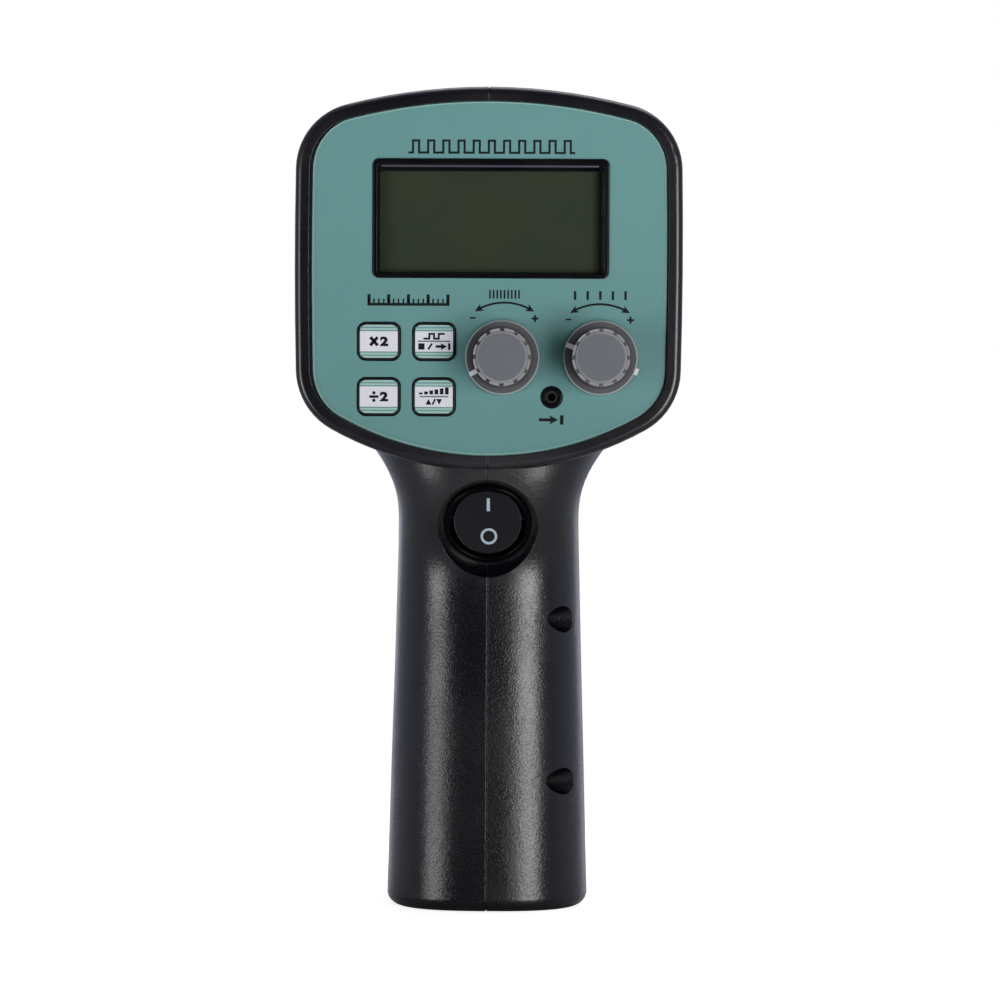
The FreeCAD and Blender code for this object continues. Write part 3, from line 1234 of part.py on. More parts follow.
def trigger_wire():
    """Wire that comes straight out of the base and is wound round one leg of the tube."""
    reach = TUBE_RADIUS + TRIGGER_WIRE_RADIUS + TRIGGER_WIRE_GAP
    start = Vector(0, tube_base_back_y(), LAMP_Z - TRIGGER_WIRE_DROP)
    leaving = Vector(0, tube_base_front_y() + 1.0, start.z)
    first_y = REFLECTOR_VERTEX_Y + REFLECTOR_FOCUS - 1.0 - TRIGGER_PITCH * TRIGGER_TURNS
    points = []
    for step in range(TRIGGER_TURNS * TRIGGER_STEPS + 1):
        turns = step / TRIGGER_STEPS
        angle = 2 * math.pi * turns - math.pi / 2
        points.append(Vector(TUBE_BEND + reach * math.cos(angle), first_y + TRIGGER_PITCH * turns,
                             LAMP_Z + reach * math.sin(angle)))
    stride = 2 * math.pi * reach / TRIGGER_STEPS
    run_up = 1.1 * points[0].distanceToPoint(leaving) / stride
    winding = Part.BSplineCurve()
    winding.interpolate(Points=[leaving] + points,
                        Parameters=[0.0] + [run_up + index for index in range(len(points))],
                        InitialTangent=Vector(0, stride, 0), Scale=False,
                        FinalTangent=Vector(stride, TRIGGER_PITCH / TRIGGER_STEPS, 0))
    path = Part.Wire([Part.LineSegment(start, leaving).toShape(), winding.toShape()])
    circle = Part.Circle(start, Vector(0, 1, 0), TRIGGER_WIRE_RADIUS)
    return path.makePipeShell([Part.Wire([circle.toShape()])], True, False)


def lens_window():
    """Clear front disc."""
    solid = rod_y(LENS_RADIUS, 0, LAMP_Z, LENS_Y, LENS_Y + LENS_THICKNESS)
    return solid.makeChamfer(LENS_EDGE, edges_at(solid, 1, LENS_Y + LENS_THICKNESS))


def lens_gasket():
    """Rubber ring between the reflector's flange and the lens."""
    return ring_y(LENS_RADIUS, REFLECTOR_RADIUS + 1.5, 0, LAMP_Z, LENS_Y - GASKET_THICKNESS,
                  LENS_Y)


def ring_screw_angles():
    """Directions of the screws round the front ring."""
    return [360 * (index + 0.5) / RING_SCREWS for index in range(RING_SCREWS)]


def ring_screw_rod(radius, inner, outer, angle):
    """Radial bar through the skirt of the front ring."""
    toward = Vector(math.cos(math.radians(angle)), 0, math.sin(math.radians(angle)))
    centre = Vector(0, BARREL_END_Y + SPIGOT_LENGTH / 2, LAMP_Z)
    return rod(radius, centre.add(Vector(toward).multiply(inner)),
               centre.add(Vector(toward).multiply(outer)))


def front_bezel():
    """Front ring: a skirt over the spigot, a seat for the lens and a bevelled lip."""
    back = BARREL_END_Y + RING_GAP
    solid = rod_y(RING_RADIUS, 0, LAMP_Z, back, LAMP_FACE_Y)
    solid = solid.makeFillet(RING_EDGE, edges_at(solid, 1, LAMP_FACE_Y))
    seat = rod_y(SPIGOT_RADIUS + RING_FIT, 0, LAMP_Z, back - 1, LAMP_FACE_Y - RING_LIP)
    opening = rod_y(RING_OPENING, 0, LAMP_Z, back, LAMP_FACE_Y + 1)
    bevel_width, bevel_depth = RING_BEVEL
    bevel = Part.makeCone(RING_OPENING, RING_OPENING + bevel_width, bevel_depth,
                          Vector(0, LAMP_FACE_Y + OVERCUT - bevel_depth, LAMP_Z),
                          Vector(0, 1, 0))
    cuts = [seat, opening, bevel]
    sink = RING_RADIUS - RING_SCREW_SINK
    for angle in ring_screw_angles():
        cuts.append(ring_screw_rod(SMALL_SCREW_RADIUS + SCREW_PLAY, SPIGOT_RADIUS - 1,
                                   RING_RADIUS + 2, angle))
        cuts.append(ring_screw_rod(SMALL_HEAD_RADIUS, sink, RING_RADIUS + 2, angle))
    return solid.cut(cuts)


def bezel_screws():
    """Screws that hold the front ring on the spigot."""
    screws = []
    for angle in ring_screw_angles():
        sink = RING_RADIUS - RING_SCREW_SINK
        head = ring_screw_rod(SMALL_HEAD_RADIUS - SCREW_PLAY, sink, RING_RADIUS - 0.4, angle)
        shank = ring_screw_rod(SMALL_SCREW_RADIUS, SPIGOT_RADIUS - SPIGOT_WALL + PANEL_PLAY, sink,
                               angle)
        screws.append(head.fuse(shank).removeSplitter())
    return screws


# ------------------------------------------------------------------ power parts
def power_board():
    """Board across the head, with cut corners, in the rails of the case."""
    half_w = POWER_BOARD_WIDTH / 2
    half_h = POWER_BOARD_HEIGHT / 2
    cut = POWER_BOARD_CORNER
    outline = []
    for sign_x, sign_z in ((1, -1), (1, 1), (-1, 1), (-1, -1)):
        near = Vector(sign_x * half_w, POWER_BOARD_Y, LAMP_Z + sign_z * (half_h - cut))
        far = Vector(sign_x * (half_w - cut), POWER_BOARD_Y, LAMP_Z + sign_z * half_h)
        outline += [far, near] if sign_x * sign_z < 0 else [near, far]
    outline.append(outline[0])
    return Part.Face(Part.makePolygon(outline)).extrude(Vector(0, BOARD_THICKNESS, 0))


def flash_capacitors():
    """Two flash capacitors lying behind the power board."""
    capacitors = []
    half = CAPACITOR_LENGTH / 2
    y = POWER_BOARD_Y - CAPACITOR_RADIUS
    for z in (LAMP_Z - CAPACITOR_PITCH / 2 + 2, LAMP_Z + CAPACITOR_PITCH / 2 + 2):
        can = rod(CAPACITOR_RADIUS, Vector(-half, y, z), Vector(half, y, z))
        ends = edges_at(can, 0, half) + edges_at(can, 0, -half)
        capacitors.append(can.makeFillet(CAPACITOR_EDGE, ends))
    return capacitors


def trigger_transformer():
    """Small potted transformer that fires the tube."""
    width, depth, height = TRIGGER_COIL
    start = POWER_BOARD_Y + BOARD_THICKNESS
    low = LAMP_Z - TRIGGER_COIL_DROP - height / 2
    solid = block((-width / 2, width / 2), (start, start + depth), (low, low + height))
    return solid.makeChamfer(0.8, edges_at(solid, 1, start + depth))


def fuse_clips():
    """Two spring clips for the fuse."""
    clips = []
    y = fuse_y()
    z = LAMP_Z + FUSE_RISE
    half = FUSE_CLIP_WIDTH / 2
    for x in (-FUSE_LENGTH / 2 + half, FUSE_LENGTH / 2 - half):
        grip = rod(FUSE_RADIUS + FUSE_CLIP_WALL, Vector(x - half, y, z), Vector(x + half, y, z))
        foot = block((x - half, x + half), (POWER_BOARD_Y + BOARD_THICKNESS, y),
                     (z - 1.5, z + 1.5))
        hole = rod(FUSE_RADIUS + SMALL_SCREW_FIT, Vector(x - SPACE, y, z),
                   Vector(x + SPACE, y, z))
        mouth = block((x - SPACE, x + SPACE), (y + FUSE_RADIUS / 2, y + SPACE),
                      (z - SPACE, z + SPACE))
        clips.append(grip.fuse(foot).cut([hole, mouth]).removeSplitter())
    return clips


def fuse_y():
    """Y of the fuse's axis."""
    return POWER_BOARD_Y + BOARD_THICKNESS + FUSE_RADIUS + 1.2


def fuse():
    """Glass fuse."""
    y = fuse_y()
    z = LAMP_Z + FUSE_RISE
    half = FUSE_LENGTH / 2
    return rod(FUSE_RADIUS, Vector(-half, y, z), Vector(half, y, z))


def transformer_core():
    """Laminated core: a frame with a middle limb."""
    half_w = CORE_WIDTH / 2
    half_s = CORE_STACK / 2
    solid = block((-half_w, half_w), (CORE_Y - half_s, CORE_Y + half_s),
                  (CORE_Z, CORE_Z + CORE_HEIGHT))
    windows = []
    for side in (1, -1):
        ends = sorted((side * CORE_LIMB, side * (half_w - CORE_LIMB)))
        windows.append(block(ends, (-SPACE, SPACE),
                             (CORE_Z + CORE_LIMB, CORE_Z + CORE_HEIGHT - CORE_LIMB)))
    return solid.cut(windows)


def transformer_winding():
    """Coil round the middle limb, with rounded edges."""
    half_w = CORE_WIDTH / 2 - CORE_LIMB - COIL_GAP
    low = CORE_Z + CORE_LIMB + COIL_GAP
    high = CORE_Z + CORE_HEIGHT - CORE_LIMB - COIL_GAP
    half_d = COIL_DEPTH / 2
    solid = block((-half_w, half_w), (CORE_Y - half_d, CORE_Y + half_d), (low, high))
    upright = [edge for edge in solid.Edges if edge.BoundBox.ZLength > high - low - 0.1]
    solid = solid.makeFillet(COIL_EDGE, upright)
    limb_x = CORE_LIMB + COIL_GAP
    limb_y = CORE_STACK / 2 + COIL_GAP
    limb = block((-limb_x, limb_x), (CORE_Y - limb_y, CORE_Y + limb_y), (0, SPACE))
    return solid.cut(limb)


def stadium(length, height, z_start, z_end):
    """Long round-ended solid along Z, at the place of the mains inlet."""
    end = (length - height) / 2
    low = Vector(0, INLET_Y, z_start)
    up = Vector(0, 0, z_end - z_start)
    middle = block((-end, end), (INLET_Y - height / 2, INLET_Y + height / 2), (z_start, z_end))
    rounds = [rod(height / 2, low.add(Vector(x, 0, 0)), low.add(Vector(x, 0, 0)).add(up))
              for x in (-end, end)]
    return union([middle] + rounds)


def mains_inlet():
    """Two-pin mains inlet, clamped by its flange behind the foot of the grip."""
    floor = INLET_RECESS + INLET_DEPTH
    length = INLET_LENGTH + 2 * INLET_WALL
    height = INLET_HEIGHT + 2 * INLET_WALL
    body = stadium(length, height, INLET_RECESS, floor + INLET_BACK)
    flange = stadium(length + 2 * INLET_FLANGE, height + 2 * INLET_FLANGE, WALL,
                     WALL + INLET_FLANGE_THICKNESS)
    socket = stadium(INLET_LENGTH, INLET_HEIGHT, 0, floor)
    pins = [rod(INLET_PIN_RADIUS + SMALL_SCREW_FIT, Vector(x, INLET_Y, 1),
                Vector(x, INLET_Y, SPACE))
            for x in (-INLET_PIN_PITCH / 2, INLET_PIN_PITCH / 2)]
    return body.fuse(flange).removeSplitter().cut([socket] + pins)


def inlet_pins():
    """Pins of the inlet, through to its back."""
    pins = []
    low = INLET_RECESS + INLET_DEPTH - INLET_PIN_LENGTH
    for x in (-INLET_PIN_PITCH / 2, INLET_PIN_PITCH / 2):
        pin = rod(INLET_PIN_RADIUS, Vector(x, INLET_Y, low),
                  Vector(x, INLET_Y, inlet_pin_top()))
        pins.append(pin.makeFillet(INLET_PIN_EDGE, edges_at(pin, 2, low)))
    return pins


def inlet_pin_top():
    """Inner end of the inlet's pins."""
    return INLET_RECESS + INLET_DEPTH + INLET_BACK + INLET_TAIL_LENGTH


def tab_point(z):
    """Where a lead is soldered to a tab of the switch."""
    point = Part.Vertex(0, SWITCH_BODY_DEPTH + TAB_LENGTH - 1,
                        z - TAB_THICKNESS / 2 - LEAD_RADIUS)
    return on_switch_seat(point).Point


def mains_leads():
    """Leads from the inlet: one past the transformer to the switch, one to the transformer."""
    top = inlet_pin_top()
    side = CORE_WIDTH / 2 + LEAD_CLEARANCE + LEAD_RADIUS
    pitch = INLET_PIN_PITCH / 2
    tab = tab_point(-TAB_PLACE)
    clear_y = CORE_Y + CORE_STACK / 2 + LEAD_CLEARANCE + 2 * LEAD_RADIUS
    coil_y = CORE_Y + COIL_DEPTH / 2 + LEAD_RADIUS
    above_core = CORE_Z + CORE_HEIGHT
    to_switch = lead([Vector(pitch, INLET_Y, top), Vector(pitch, INLET_Y, top + LEAD_RISE),
                      Vector(side - 2, clear_y - 3, CORE_Z - 14), Vector(side, clear_y, CORE_Z + 4),
                      Vector(side - 1, clear_y, above_core + 4),
                      Vector(6, clear_y - 3, (above_core + tab.z) / 2),
                      tab.add(Vector(0, 5, -8)), tab])
    to_core = lead([Vector(-pitch, INLET_Y, top), Vector(-pitch, INLET_Y, top + LEAD_RISE),
                    Vector(-7, clear_y, CORE_Z - 12), Vector(-6, coil_y, CORE_Z - 3),
                    Vector(-6, coil_y, CORE_Z + 7)])
    return [to_switch, to_core]


def transformer_leads():
    """Two leads from the winding up to the power board."""
    leads = []
    start_y = CORE_Y + COIL_DEPTH / 2 + LEAD_RADIUS
    start_z = CORE_Z + CORE_HEIGHT / 2
    board_z = LAMP_Z - POWER_BOARD_HEIGHT / 2
    rise = board_z - start_z
    board_y = POWER_BOARD_Y - LEAD_RADIUS
    for x in (-TAB_PLACE, TAB_PLACE):
        leads.append(lead([Vector(x, start_y, start_z), Vector(x, start_y, start_z + rise / 3),
                           Vector(1.6 * x, start_y, start_z + 2 * rise / 3),
                           Vector(1.6 * x, board_y - 3.0, board_z - 3.0),
                           Vector(1.6 * x, board_y, board_z + 6.0)]))
    return leads


def ribbon_cable():
    """Flat cable from the header on the control board up to the power board."""
    header_z = LAMP_Z + sum(HEADER[2]) / 2
    start = Vector(0, CONTROL_BOARD_BACK_Y + HEADER[1], header_z)
    end_z = LAMP_Z - RIBBON_DROP
    points = [start, start.add(Vector(0, 3.5, 0)), Vector(0, start.y + 7.5, end_z),
              Vector(0, POWER_BOARD_Y, end_z)]
    half_x = RIBBON_WIDTH / 2
    half_z = RIBBON_THICKNESS / 2
    corners = [start.add(Vector(x, 0, z)) for x, z in ((-half_x, -half_z), (half_x, -half_z),
                                                       (half_x, half_z), (-half_x, half_z),
                                                       (-half_x, -half_z))]
    return route(points).makePipeShell([Part.makePolygon(corners)], True, True)


# ------------------------------------------------------------------ all pieces
def all_parts():
    """Every node's name with its solid or its group of solids."""
    parts = housing()
    parts["housing_screws"] = housing_screws()
    parts["control_panel"] = control_panel()
    parts["panel_overlay"] = panel_overlay()
    parts["display_bezel"] = display_bezel()
    parts["display_window"] = display_window()
    parts["lcd_panel"] = lcd_panel()
    parts["lcd_holder"] = lcd_holder()
    parts["contact_strips"] = contact_strips()
    parts["control_board"] = control_board()
    parts["control_chips"] = control_chips()
    parts["board_screws"] = board_screws()
    parts["key_switches"] = key_switches()
    for name, x, z in key_places():
        parts[name] = key(x, z)
    for name, x, angle, with_pip in (("fine", FINE_KNOB_X, FINE_POINTER_ANGLE, False),
                                     ("coarse", COARSE_KNOB_X, COARSE_POINTER_ANGLE, True)):
        parts[name + "_knob"] = knob(x, angle, with_pip)
        marks = [pointer(x, angle)]
        if with_pip:
            marks.append(turned(pip_slot(x, 0), x, angle))
        parts[name + "_pointer"] = marks
        parts[name + "_pot_shaft"] = pot_shaft(x, angle)
        parts[name + "_potentiometer"] = potentiometer(x)
    parts["pot_terminals"] = pot_terminals()
    parts["pot_nuts"] = pot_nuts()
    parts["pot_washers"] = pot_washers()
    parts["trigger_jack"] = trigger_jack()
    parts["switch_body"] = switch_body()
    parts["switch_rocker"] = switch_rocker()
    parts["switch_terminals"] = switch_terminals()
    parts["reflector"] = reflector()
    parts["flash_tube"] = flash_tube()
    parts["tube_electrodes"] = tube_electrodes()
    parts["tube_base"] = tube_base()
    parts["trigger_wire"] = trigger_wire()
    parts["lens_window"] = lens_window()
    parts["lens_gasket"] = lens_gasket()
    parts["front_bezel"] = front_bezel()
    parts["bezel_screws"] = bezel_screws()
    parts["power_board"] = power_board()
    parts["flash_capacitors"] = flash_capacitors()
    parts["trigger_transformer"] = trigger_transformer()
    parts["fuse"] = fuse()
    parts["fuse_clips"] = fuse_clips()
    parts["transformer_core"] = transformer_core()
    parts["transformer_winding"] = transformer_winding()
    parts["mains_inlet"] = mains_inlet()
    parts["inlet_pins"] = inlet_pins()
    parts["mains_leads"] = mains_leads()
    parts["transformer_leads"] = transformer_leads()
    parts["ribbon_cable"] = ribbon_cable()
    return parts


def main():
    """Writes one STEP file for each node."""
    os.makedirs("parts", exist_ok=True)
    for name, made in all_parts().items():
        shape = Part.makeCompound(made) if isinstance(made, list) else made
        volumes = [round(solid.Volume, 1) for solid in shape.Solids]
        print(name, "valid" if shape.isValid() else "NOT VALID", volumes)
        shape.exportStep(os.path.join("parts", name + ".step"))


main()
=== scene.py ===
"""Finishes, fine detail and studio of a hand-held xenon stroboscope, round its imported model."""

import json
import logging
import math
from dataclasses import dataclass
from enum import Enum
from typing import ClassVar, Sequence

import bmesh
import bpy
from mathutils import Matrix, Vector


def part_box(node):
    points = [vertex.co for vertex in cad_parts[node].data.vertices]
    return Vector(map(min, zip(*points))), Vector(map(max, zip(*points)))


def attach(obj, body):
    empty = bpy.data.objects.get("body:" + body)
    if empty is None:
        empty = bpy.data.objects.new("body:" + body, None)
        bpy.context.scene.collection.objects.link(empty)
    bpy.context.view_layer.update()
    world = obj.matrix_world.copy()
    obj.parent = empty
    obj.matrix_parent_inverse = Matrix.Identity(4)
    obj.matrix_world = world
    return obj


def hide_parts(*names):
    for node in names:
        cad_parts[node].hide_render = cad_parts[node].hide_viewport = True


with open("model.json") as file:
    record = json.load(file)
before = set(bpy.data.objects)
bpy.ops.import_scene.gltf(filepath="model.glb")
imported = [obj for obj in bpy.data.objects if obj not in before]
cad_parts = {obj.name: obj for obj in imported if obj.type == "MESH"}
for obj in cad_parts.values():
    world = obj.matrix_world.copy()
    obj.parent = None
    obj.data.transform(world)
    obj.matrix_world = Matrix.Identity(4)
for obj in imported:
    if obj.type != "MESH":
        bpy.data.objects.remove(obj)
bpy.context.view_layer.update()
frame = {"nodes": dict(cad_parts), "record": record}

log = logging.getLogger("stroboscope")

Mesh = bpy.types.Mesh
Material = bpy.types.Material
Socket = bpy.types.NodeSocket
Colour = tuple[float, float, float]
Value = float | tuple | Socket
Point = tuple[float, float]
Outline = list[Point]

MM = 0.001
PRINT = 0.02  # millimetres that print is thick
LIFT = 0.005  # millimetres that print stands over the print below it
WELD = 1e-6  # metres below which two points of a mesh are one
ORIGIN = (0.0, 0.0)
STILL = (0.0, 0.0, 0.0)
WHITE = (1.0, 1.0, 1.0)


def middle(node: str) -> Vector:
    """Centre of a model node's box, in metres."""
    low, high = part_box(node)
    return (low + high) / 2


def front_of(node: str) -> float:
    """Millimetre place of the side of a node that the holder sees."""
    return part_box(node)[0].y / MM


def place_of(rows: list[dict], name: str) -> Vector:
    """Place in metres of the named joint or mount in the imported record's rows."""
    return Vector(next(row for row in rows if row["name"] == name)["pos_m"])


def tint(red: float, green: float, blue: float) -> Colour:
    """Linear colour for display levels from 0 to 255."""
    return tuple(((level / 255 + 0.055) / 1.055) ** 2.4 if level > 10 else level / 255 / 12.92
                 for level in (red, green, blue))


def shade(level: float) -> Colour:
    """Linear grey for a display level from 0 to 255."""
    return tint(level, level, level)


def scaled(colour: Colour, factor: float, base: float = 0.0) -> Colour:
    """A colour made lighter or darker."""
    return tuple(min(1.0, level * factor + base) for level in colour)


# ------------------------------------------------------------------ node trees
class Nodes:
    """A node tree under construction."""

    def __init__(self, tree: bpy.types.NodeTree) -> None:
        """Takes the tree to build in."""
        self.tree = tree

    def feed(self, socket: Socket, value: Value) -> None:
        """Links another socket to this one, or sets a plain value on it.

        Args:
            socket: the input.
            value: what it gets.
        """
        if isinstance(value, Socket):
            self.tree.links.new(value, socket)
        elif isinstance(value, tuple) and len(value) == 3 and socket.type == "RGBA":
            socket.default_value = (*value, 1.0)
        else:
            socket.default_value = value

    def add(self, kind: str, feeds: dict[str | int, Value] | None = None,
            **settings) -> bpy.types.Node:
        """Adds a node.

        Args:
            kind: its type.
            feeds: what its inputs get, by their names or numbers.
            settings: its own options.

        Returns:
            The node.
        """
        node = self.tree.nodes.new(kind)
        for key, value in settings.items():
            setattr(node, key, value)
        for key, value in (feeds or {}).items():
            self.feed(node.inputs[key], value)
        return node

    def spread(self, value: Value, low: float, high: float, from_low: float = 0.0,
               from_high: float = 1.0) -> Socket:
        """Maps a value from one range to another, and clamps it."""
        feeds = {0: value, 1: from_low, 2: from_high, 3: low, 4: high}
        return self.add("ShaderNodeMapRange", feeds).outputs[0]

    def either(self, share: Value, first: Socket, second: Socket) -> Socket:
        """Shader between two, by a share."""
        return self.add("ShaderNodeMixShader", {0: share, 1: first, 2: second}).outputs[0]

    def ray(self, kind: str) -> Socket:
        """Whether a ray is of a kind."""
        return self.add("ShaderNodeLightPath").outputs[f"Is {kind} Ray"]


class Graph(Nodes):
    """A node material under construction, read in the piece's own metres."""

    def __init__(self, name: str) -> None:
        """Starts a material with an empty look."""
        self.material = bpy.data.materials.new(name)
        self.material.use_nodes = True
        super().__init__(self.material.node_tree)
        self.shader = self.tree.nodes["Principled BSDF"]
        self.place = self.add("ShaderNodeTexCoord").outputs["Object"]
        self.skewed = self.mapped(Rotation=(0.61, 0.47, 0.29))

    def set(self, **looks: Value) -> None:
        """Feeds the shader's sockets, named with underscores for spaces."""
        for key, value in looks.items():
            self.feed(self.shader.inputs[key.replace("_", " ")], value)

    def mapped(self, **changes: tuple) -> Socket:
        """The place, changed by a Location, Rotation or Scale."""
        return self.add("ShaderNodeMapping", {"Vector": self.place, **changes}).outputs[0]

    def axis(self, name: str) -> Socket:
        """One coordinate of the place, in metres."""
        return self.add("ShaderNodeSeparateXYZ", {0: self.place}).outputs[name]

    def noise(self, size: float, detail: float = 2.0, place: Socket | None = None) -> Socket:
        """Soft noise from 0 to 1, with features of a size in millimetres and octaves of detail."""
        feeds = {"Vector": place or self.skewed, "Scale": 1 / (size * MM), "Detail": detail}
        return self.add("ShaderNodeTexNoise", feeds).outputs["Fac"]

    def patches(self, size: float, detail: float, low: float, high: float,
                from_low: float = 0.0, from_high: float = 1.0) -> Socket:
        """Noise of a size and detail, spread between two values."""
        return self.spread(self.noise(size, detail), low, high, from_low, from_high)

    def waves(self, pitch: float, place: Socket, ripple: float = 0.0, **settings: str) -> Socket:
        """Ridges with a pitch in millimetres at a place, straight or round as the settings say."""
        feeds = {"Vector": place, "Scale": math.pi / (10 * pitch * MM), "Distortion": ripple}
        return self.add("ShaderNodeTexWave", feeds, **settings).outputs["Fac"]

    def sum(self, kind: str, first: Value, second: Value = 0.0) -> Socket:
        """One step of arithmetic."""
        return self.add("ShaderNodeMath", {0: first, 1: second}, operation=kind).outputs[0]

    def times(self, first: Value, second: Value) -> Socket:
        """Product of two values."""
        return self.sum("MULTIPLY", first, second)

    def mix(self, share: Value, first: Value, second: Value) -> Socket:
        """Colour between two, by a share."""
        feeds = {0: share, 6: first, 7: second}
        return self.add("ShaderNodeMix", feeds, data_type="RGBA").outputs[2]

    def mottled(self, colour: Colour, size: float, change: float) -> Socket:
        """A colour that drifts a little lighter and darker over a size in millimetres."""
        return self.mix(self.noise(size, 3.0), scaled(colour, 1 - change),
                        scaled(colour, 1 + change))

    def rounded(self, radius: float) -> Socket:
        """Normal of the surface with its edges rounded by a radius in millimetres."""
        return self.add("ShaderNodeBevel", {"Radius": radius * MM}, samples=6).outputs[0]

    def edges(self, width: float) -> Socket:
        """Mask that is 1 on edges and 0 beside them, over a width in millimetres.

        Args:
            width: how far round an edge it reaches.

        Returns:
            The mask.
        """
        flat = self.add("ShaderNodeNewGeometry").outputs["Normal"]
        node = self.add("ShaderNodeVectorMath", {0: self.rounded(width), 1: flat},
                        operation="DOT_PRODUCT")
        return self.spread(node.outputs["Value"], 1.0, 0.0, 0.82, 0.99)

    def bump(self, height: Value, depth: float, rounding: float = 0.0) -> Socket:
        """Normal of a relief, over edges that may be rounded.

        Args:
            height: the relief, from 0 to 1.
            depth: its depth in millimetres.
            rounding: radius of the rounded edges in millimetres, or 0.

        Returns:
            The normal.
        """
        feeds = {"Distance": depth * MM, "Height": height}
        if rounding:
            feeds["Normal"] = self.rounded(rounding)
        return self.add("ShaderNodeBump", feeds).outputs[0]


# ------------------------------------------------------------------ finishes
@dataclass(frozen=True)
class Finish:
    """A surface of one kind."""

    name: str
    colour: Colour

    def draw(self, graph: Graph) -> None:
        """Lays the surface's own nodes.

        Args:
            graph: the material's nodes.
        """
        raise NotImplementedError

    def build(self) -> Material:
        """Makes the material."""
        graph = Graph(self.name)
        self.draw(graph)
        return graph.material


@dataclass(frozen=True)
class Moulding(Finish):
    """Moulded plastic: its sheen, the grain of its mould and its edges lightened by wear and a
    painted highlight.
    """

    roughness: float = 0.42
    grain: float = 0.35
    depth: float = 0.012
    change: float = 0.06
    wear_and_highlight: float = 0.0
    rounding: float = 0.2
    wear_and_highlight_colour: Colour = (0.4, 0.4, 0.4)
    gloss: float = 0.5

    def draw(self, graph: Graph) -> None:
        """Lays the drift of the colour, the edges lightened by wear and a painted highlight, and
        the grain.
        """
        colour = graph.mottled(self.colour, 30.0, self.change)
        # lighter edges: wear, and a painted highlight where edges catch the light
        if self.wear_and_highlight:
            edge_patches = graph.patches(3.0, 4.0, 0.2, self.wear_and_highlight, 0.35, 0.6)
            worn_and_lit = graph.times(graph.edges(self.rounding * 1.6), edge_patches)
            colour = graph.mix(worn_and_lit, colour, self.wear_and_highlight_colour)
        graph.set(Base_Color=colour, Specular_IOR_Level=self.gloss,
                  Roughness=graph.patches(14.0, 4.0, self.roughness - 0.05,
                                          self.roughness + 0.05, 0.3, 0.7),
                  Normal=graph.bump(graph.noise(self.grain), self.depth, self.rounding))


@dataclass(frozen=True)
class SparkGrain(Finish):
    """Black moulded case: a pitted satin grip, a dull neck and a finer, glossier head."""

    edge_wear_and_highlight_colour: Colour
    roughness: float = 0.27
    gloss: float = 0.25
    gloss_roughness: float = 0.22
    grain: float = 0.52
    depth: float = 0.018
    pit_roughness: float = 0.05
    rounding: float = 0.3
    head: Point = (0.113, 0.118)
    neck: Point = (0.098, 0.108)
    neck_roughness: float = 0.16

    def draw(self, graph: Graph) -> None:
        """Lays the pits, the edges lightened by wear and a painted highlight, and the three sheens.
        """
        height = graph.axis("Z")
        fine = graph.spread(height, 0.0, 1.0, *self.head)
        pits = graph.spread(graph.noise(self.grain, 1.0), graph.spread(fine, 1.0, 0.15), 0.0,
                            0.3, 0.55)
        handled = graph.patches(22.0, 4.0, self.roughness - 0.03, self.roughness + 0.05,
                                0.35, 0.65)
        neck = graph.times(graph.spread(height, 0.0, self.neck_roughness, *self.neck),
                           graph.spread(fine, 1.0, 0.0))
        # edges painted lighter: partly wear, partly a painted highlight
        colour = graph.mix(graph.spread(graph.edges(self.rounding), 0.0, 0.45),
                           graph.mottled(self.colour, 24.0, 0.1), self.edge_wear_and_highlight_colour)
        relief = graph.bump(pits, self.depth, self.rounding)
        graph.set(Base_Color=colour, Specular_IOR_Level=0.5,
                  Roughness=graph.sum("ADD", graph.sum("ADD", handled, neck),
                                      graph.times(pits, self.pit_roughness)),
                  Coat_Weight=self.gloss, Coat_Roughness=self.gloss_roughness,
                  Normal=relief, Coat_Normal=relief)


class PrintedFilm(Finish):
    """Screen-printed sheet: an even ink under a satin hard coat."""

    def draw(self, graph: Graph) -> None:
        """Lays the ink, a painted highlight along the cut edge and the coat's faint ripple."""
        # cut edges painted lighter as a highlight
        graph.set(Base_Color=graph.mix(graph.times(graph.edges(0.35), 0.7),
                                       graph.mottled(self.colour, 40.0, 0.035),
                                       scaled(self.colour, 1.45)),
                  Specular_IOR_Level=0.4, Roughness=graph.patches(9.0, 4.0, 0.4, 0.5, 0.3, 0.7),
                  Normal=graph.bump(graph.noise(0.5, 1.0), 0.004, 0.15))


@dataclass(frozen=True)
class PrintInk(Finish):
    """Flat printing ink, with the faint ripple of its screen."""

    roughness: float = 0.5

    def draw(self, graph: Graph) -> None:
        """Lays the ink."""
        graph.set(Base_Color=graph.mottled(self.colour, 3.0, 0.05), Specular_IOR_Level=0.2,
                  Roughness=graph.patches(4.0, 3.0, self.roughness - 0.06, self.roughness + 0.06),
                  Normal=graph.bump(graph.noise(0.25, 1.0), 0.002))


class Brushing(Enum):
    """Direction of the marks on a metal."""

    PLAIN = "plain"
    ALONG_X = "along x"
    TURNED = "turned"


@dataclass(frozen=True)
class Metal(Finish):
    """Plated, brushed or polished metal."""

    roughness: float = 0.25
    brushing: Brushing = Brushing.PLAIN
    centre: tuple[float, ...] = STILL

    def draw(self, graph: Graph) -> None:
        """Lays the marks of its making."""
        if self.brushing is Brushing.TURNED:
            about = graph.mapped(Location=tuple(-place for place in self.centre))
            marks = graph.waves(0.35, about, 0.4, wave_type="RINGS", rings_direction="Y")
        elif self.brushing is Brushing.ALONG_X:
            marks = graph.noise(0.5, 3.0, graph.mapped(Scale=(0.04, 1.0, 1.0)))
        else:
            marks = graph.noise(0.8, 3.0)
        graph.set(Base_Color=graph.mottled(self.colour, 8.0, 0.06), Metallic=1.0,
                  Roughness=graph.spread(marks, self.roughness * 0.8, self.roughness * 1.25),
                  Normal=graph.bump(marks, 0.002, 0.1))


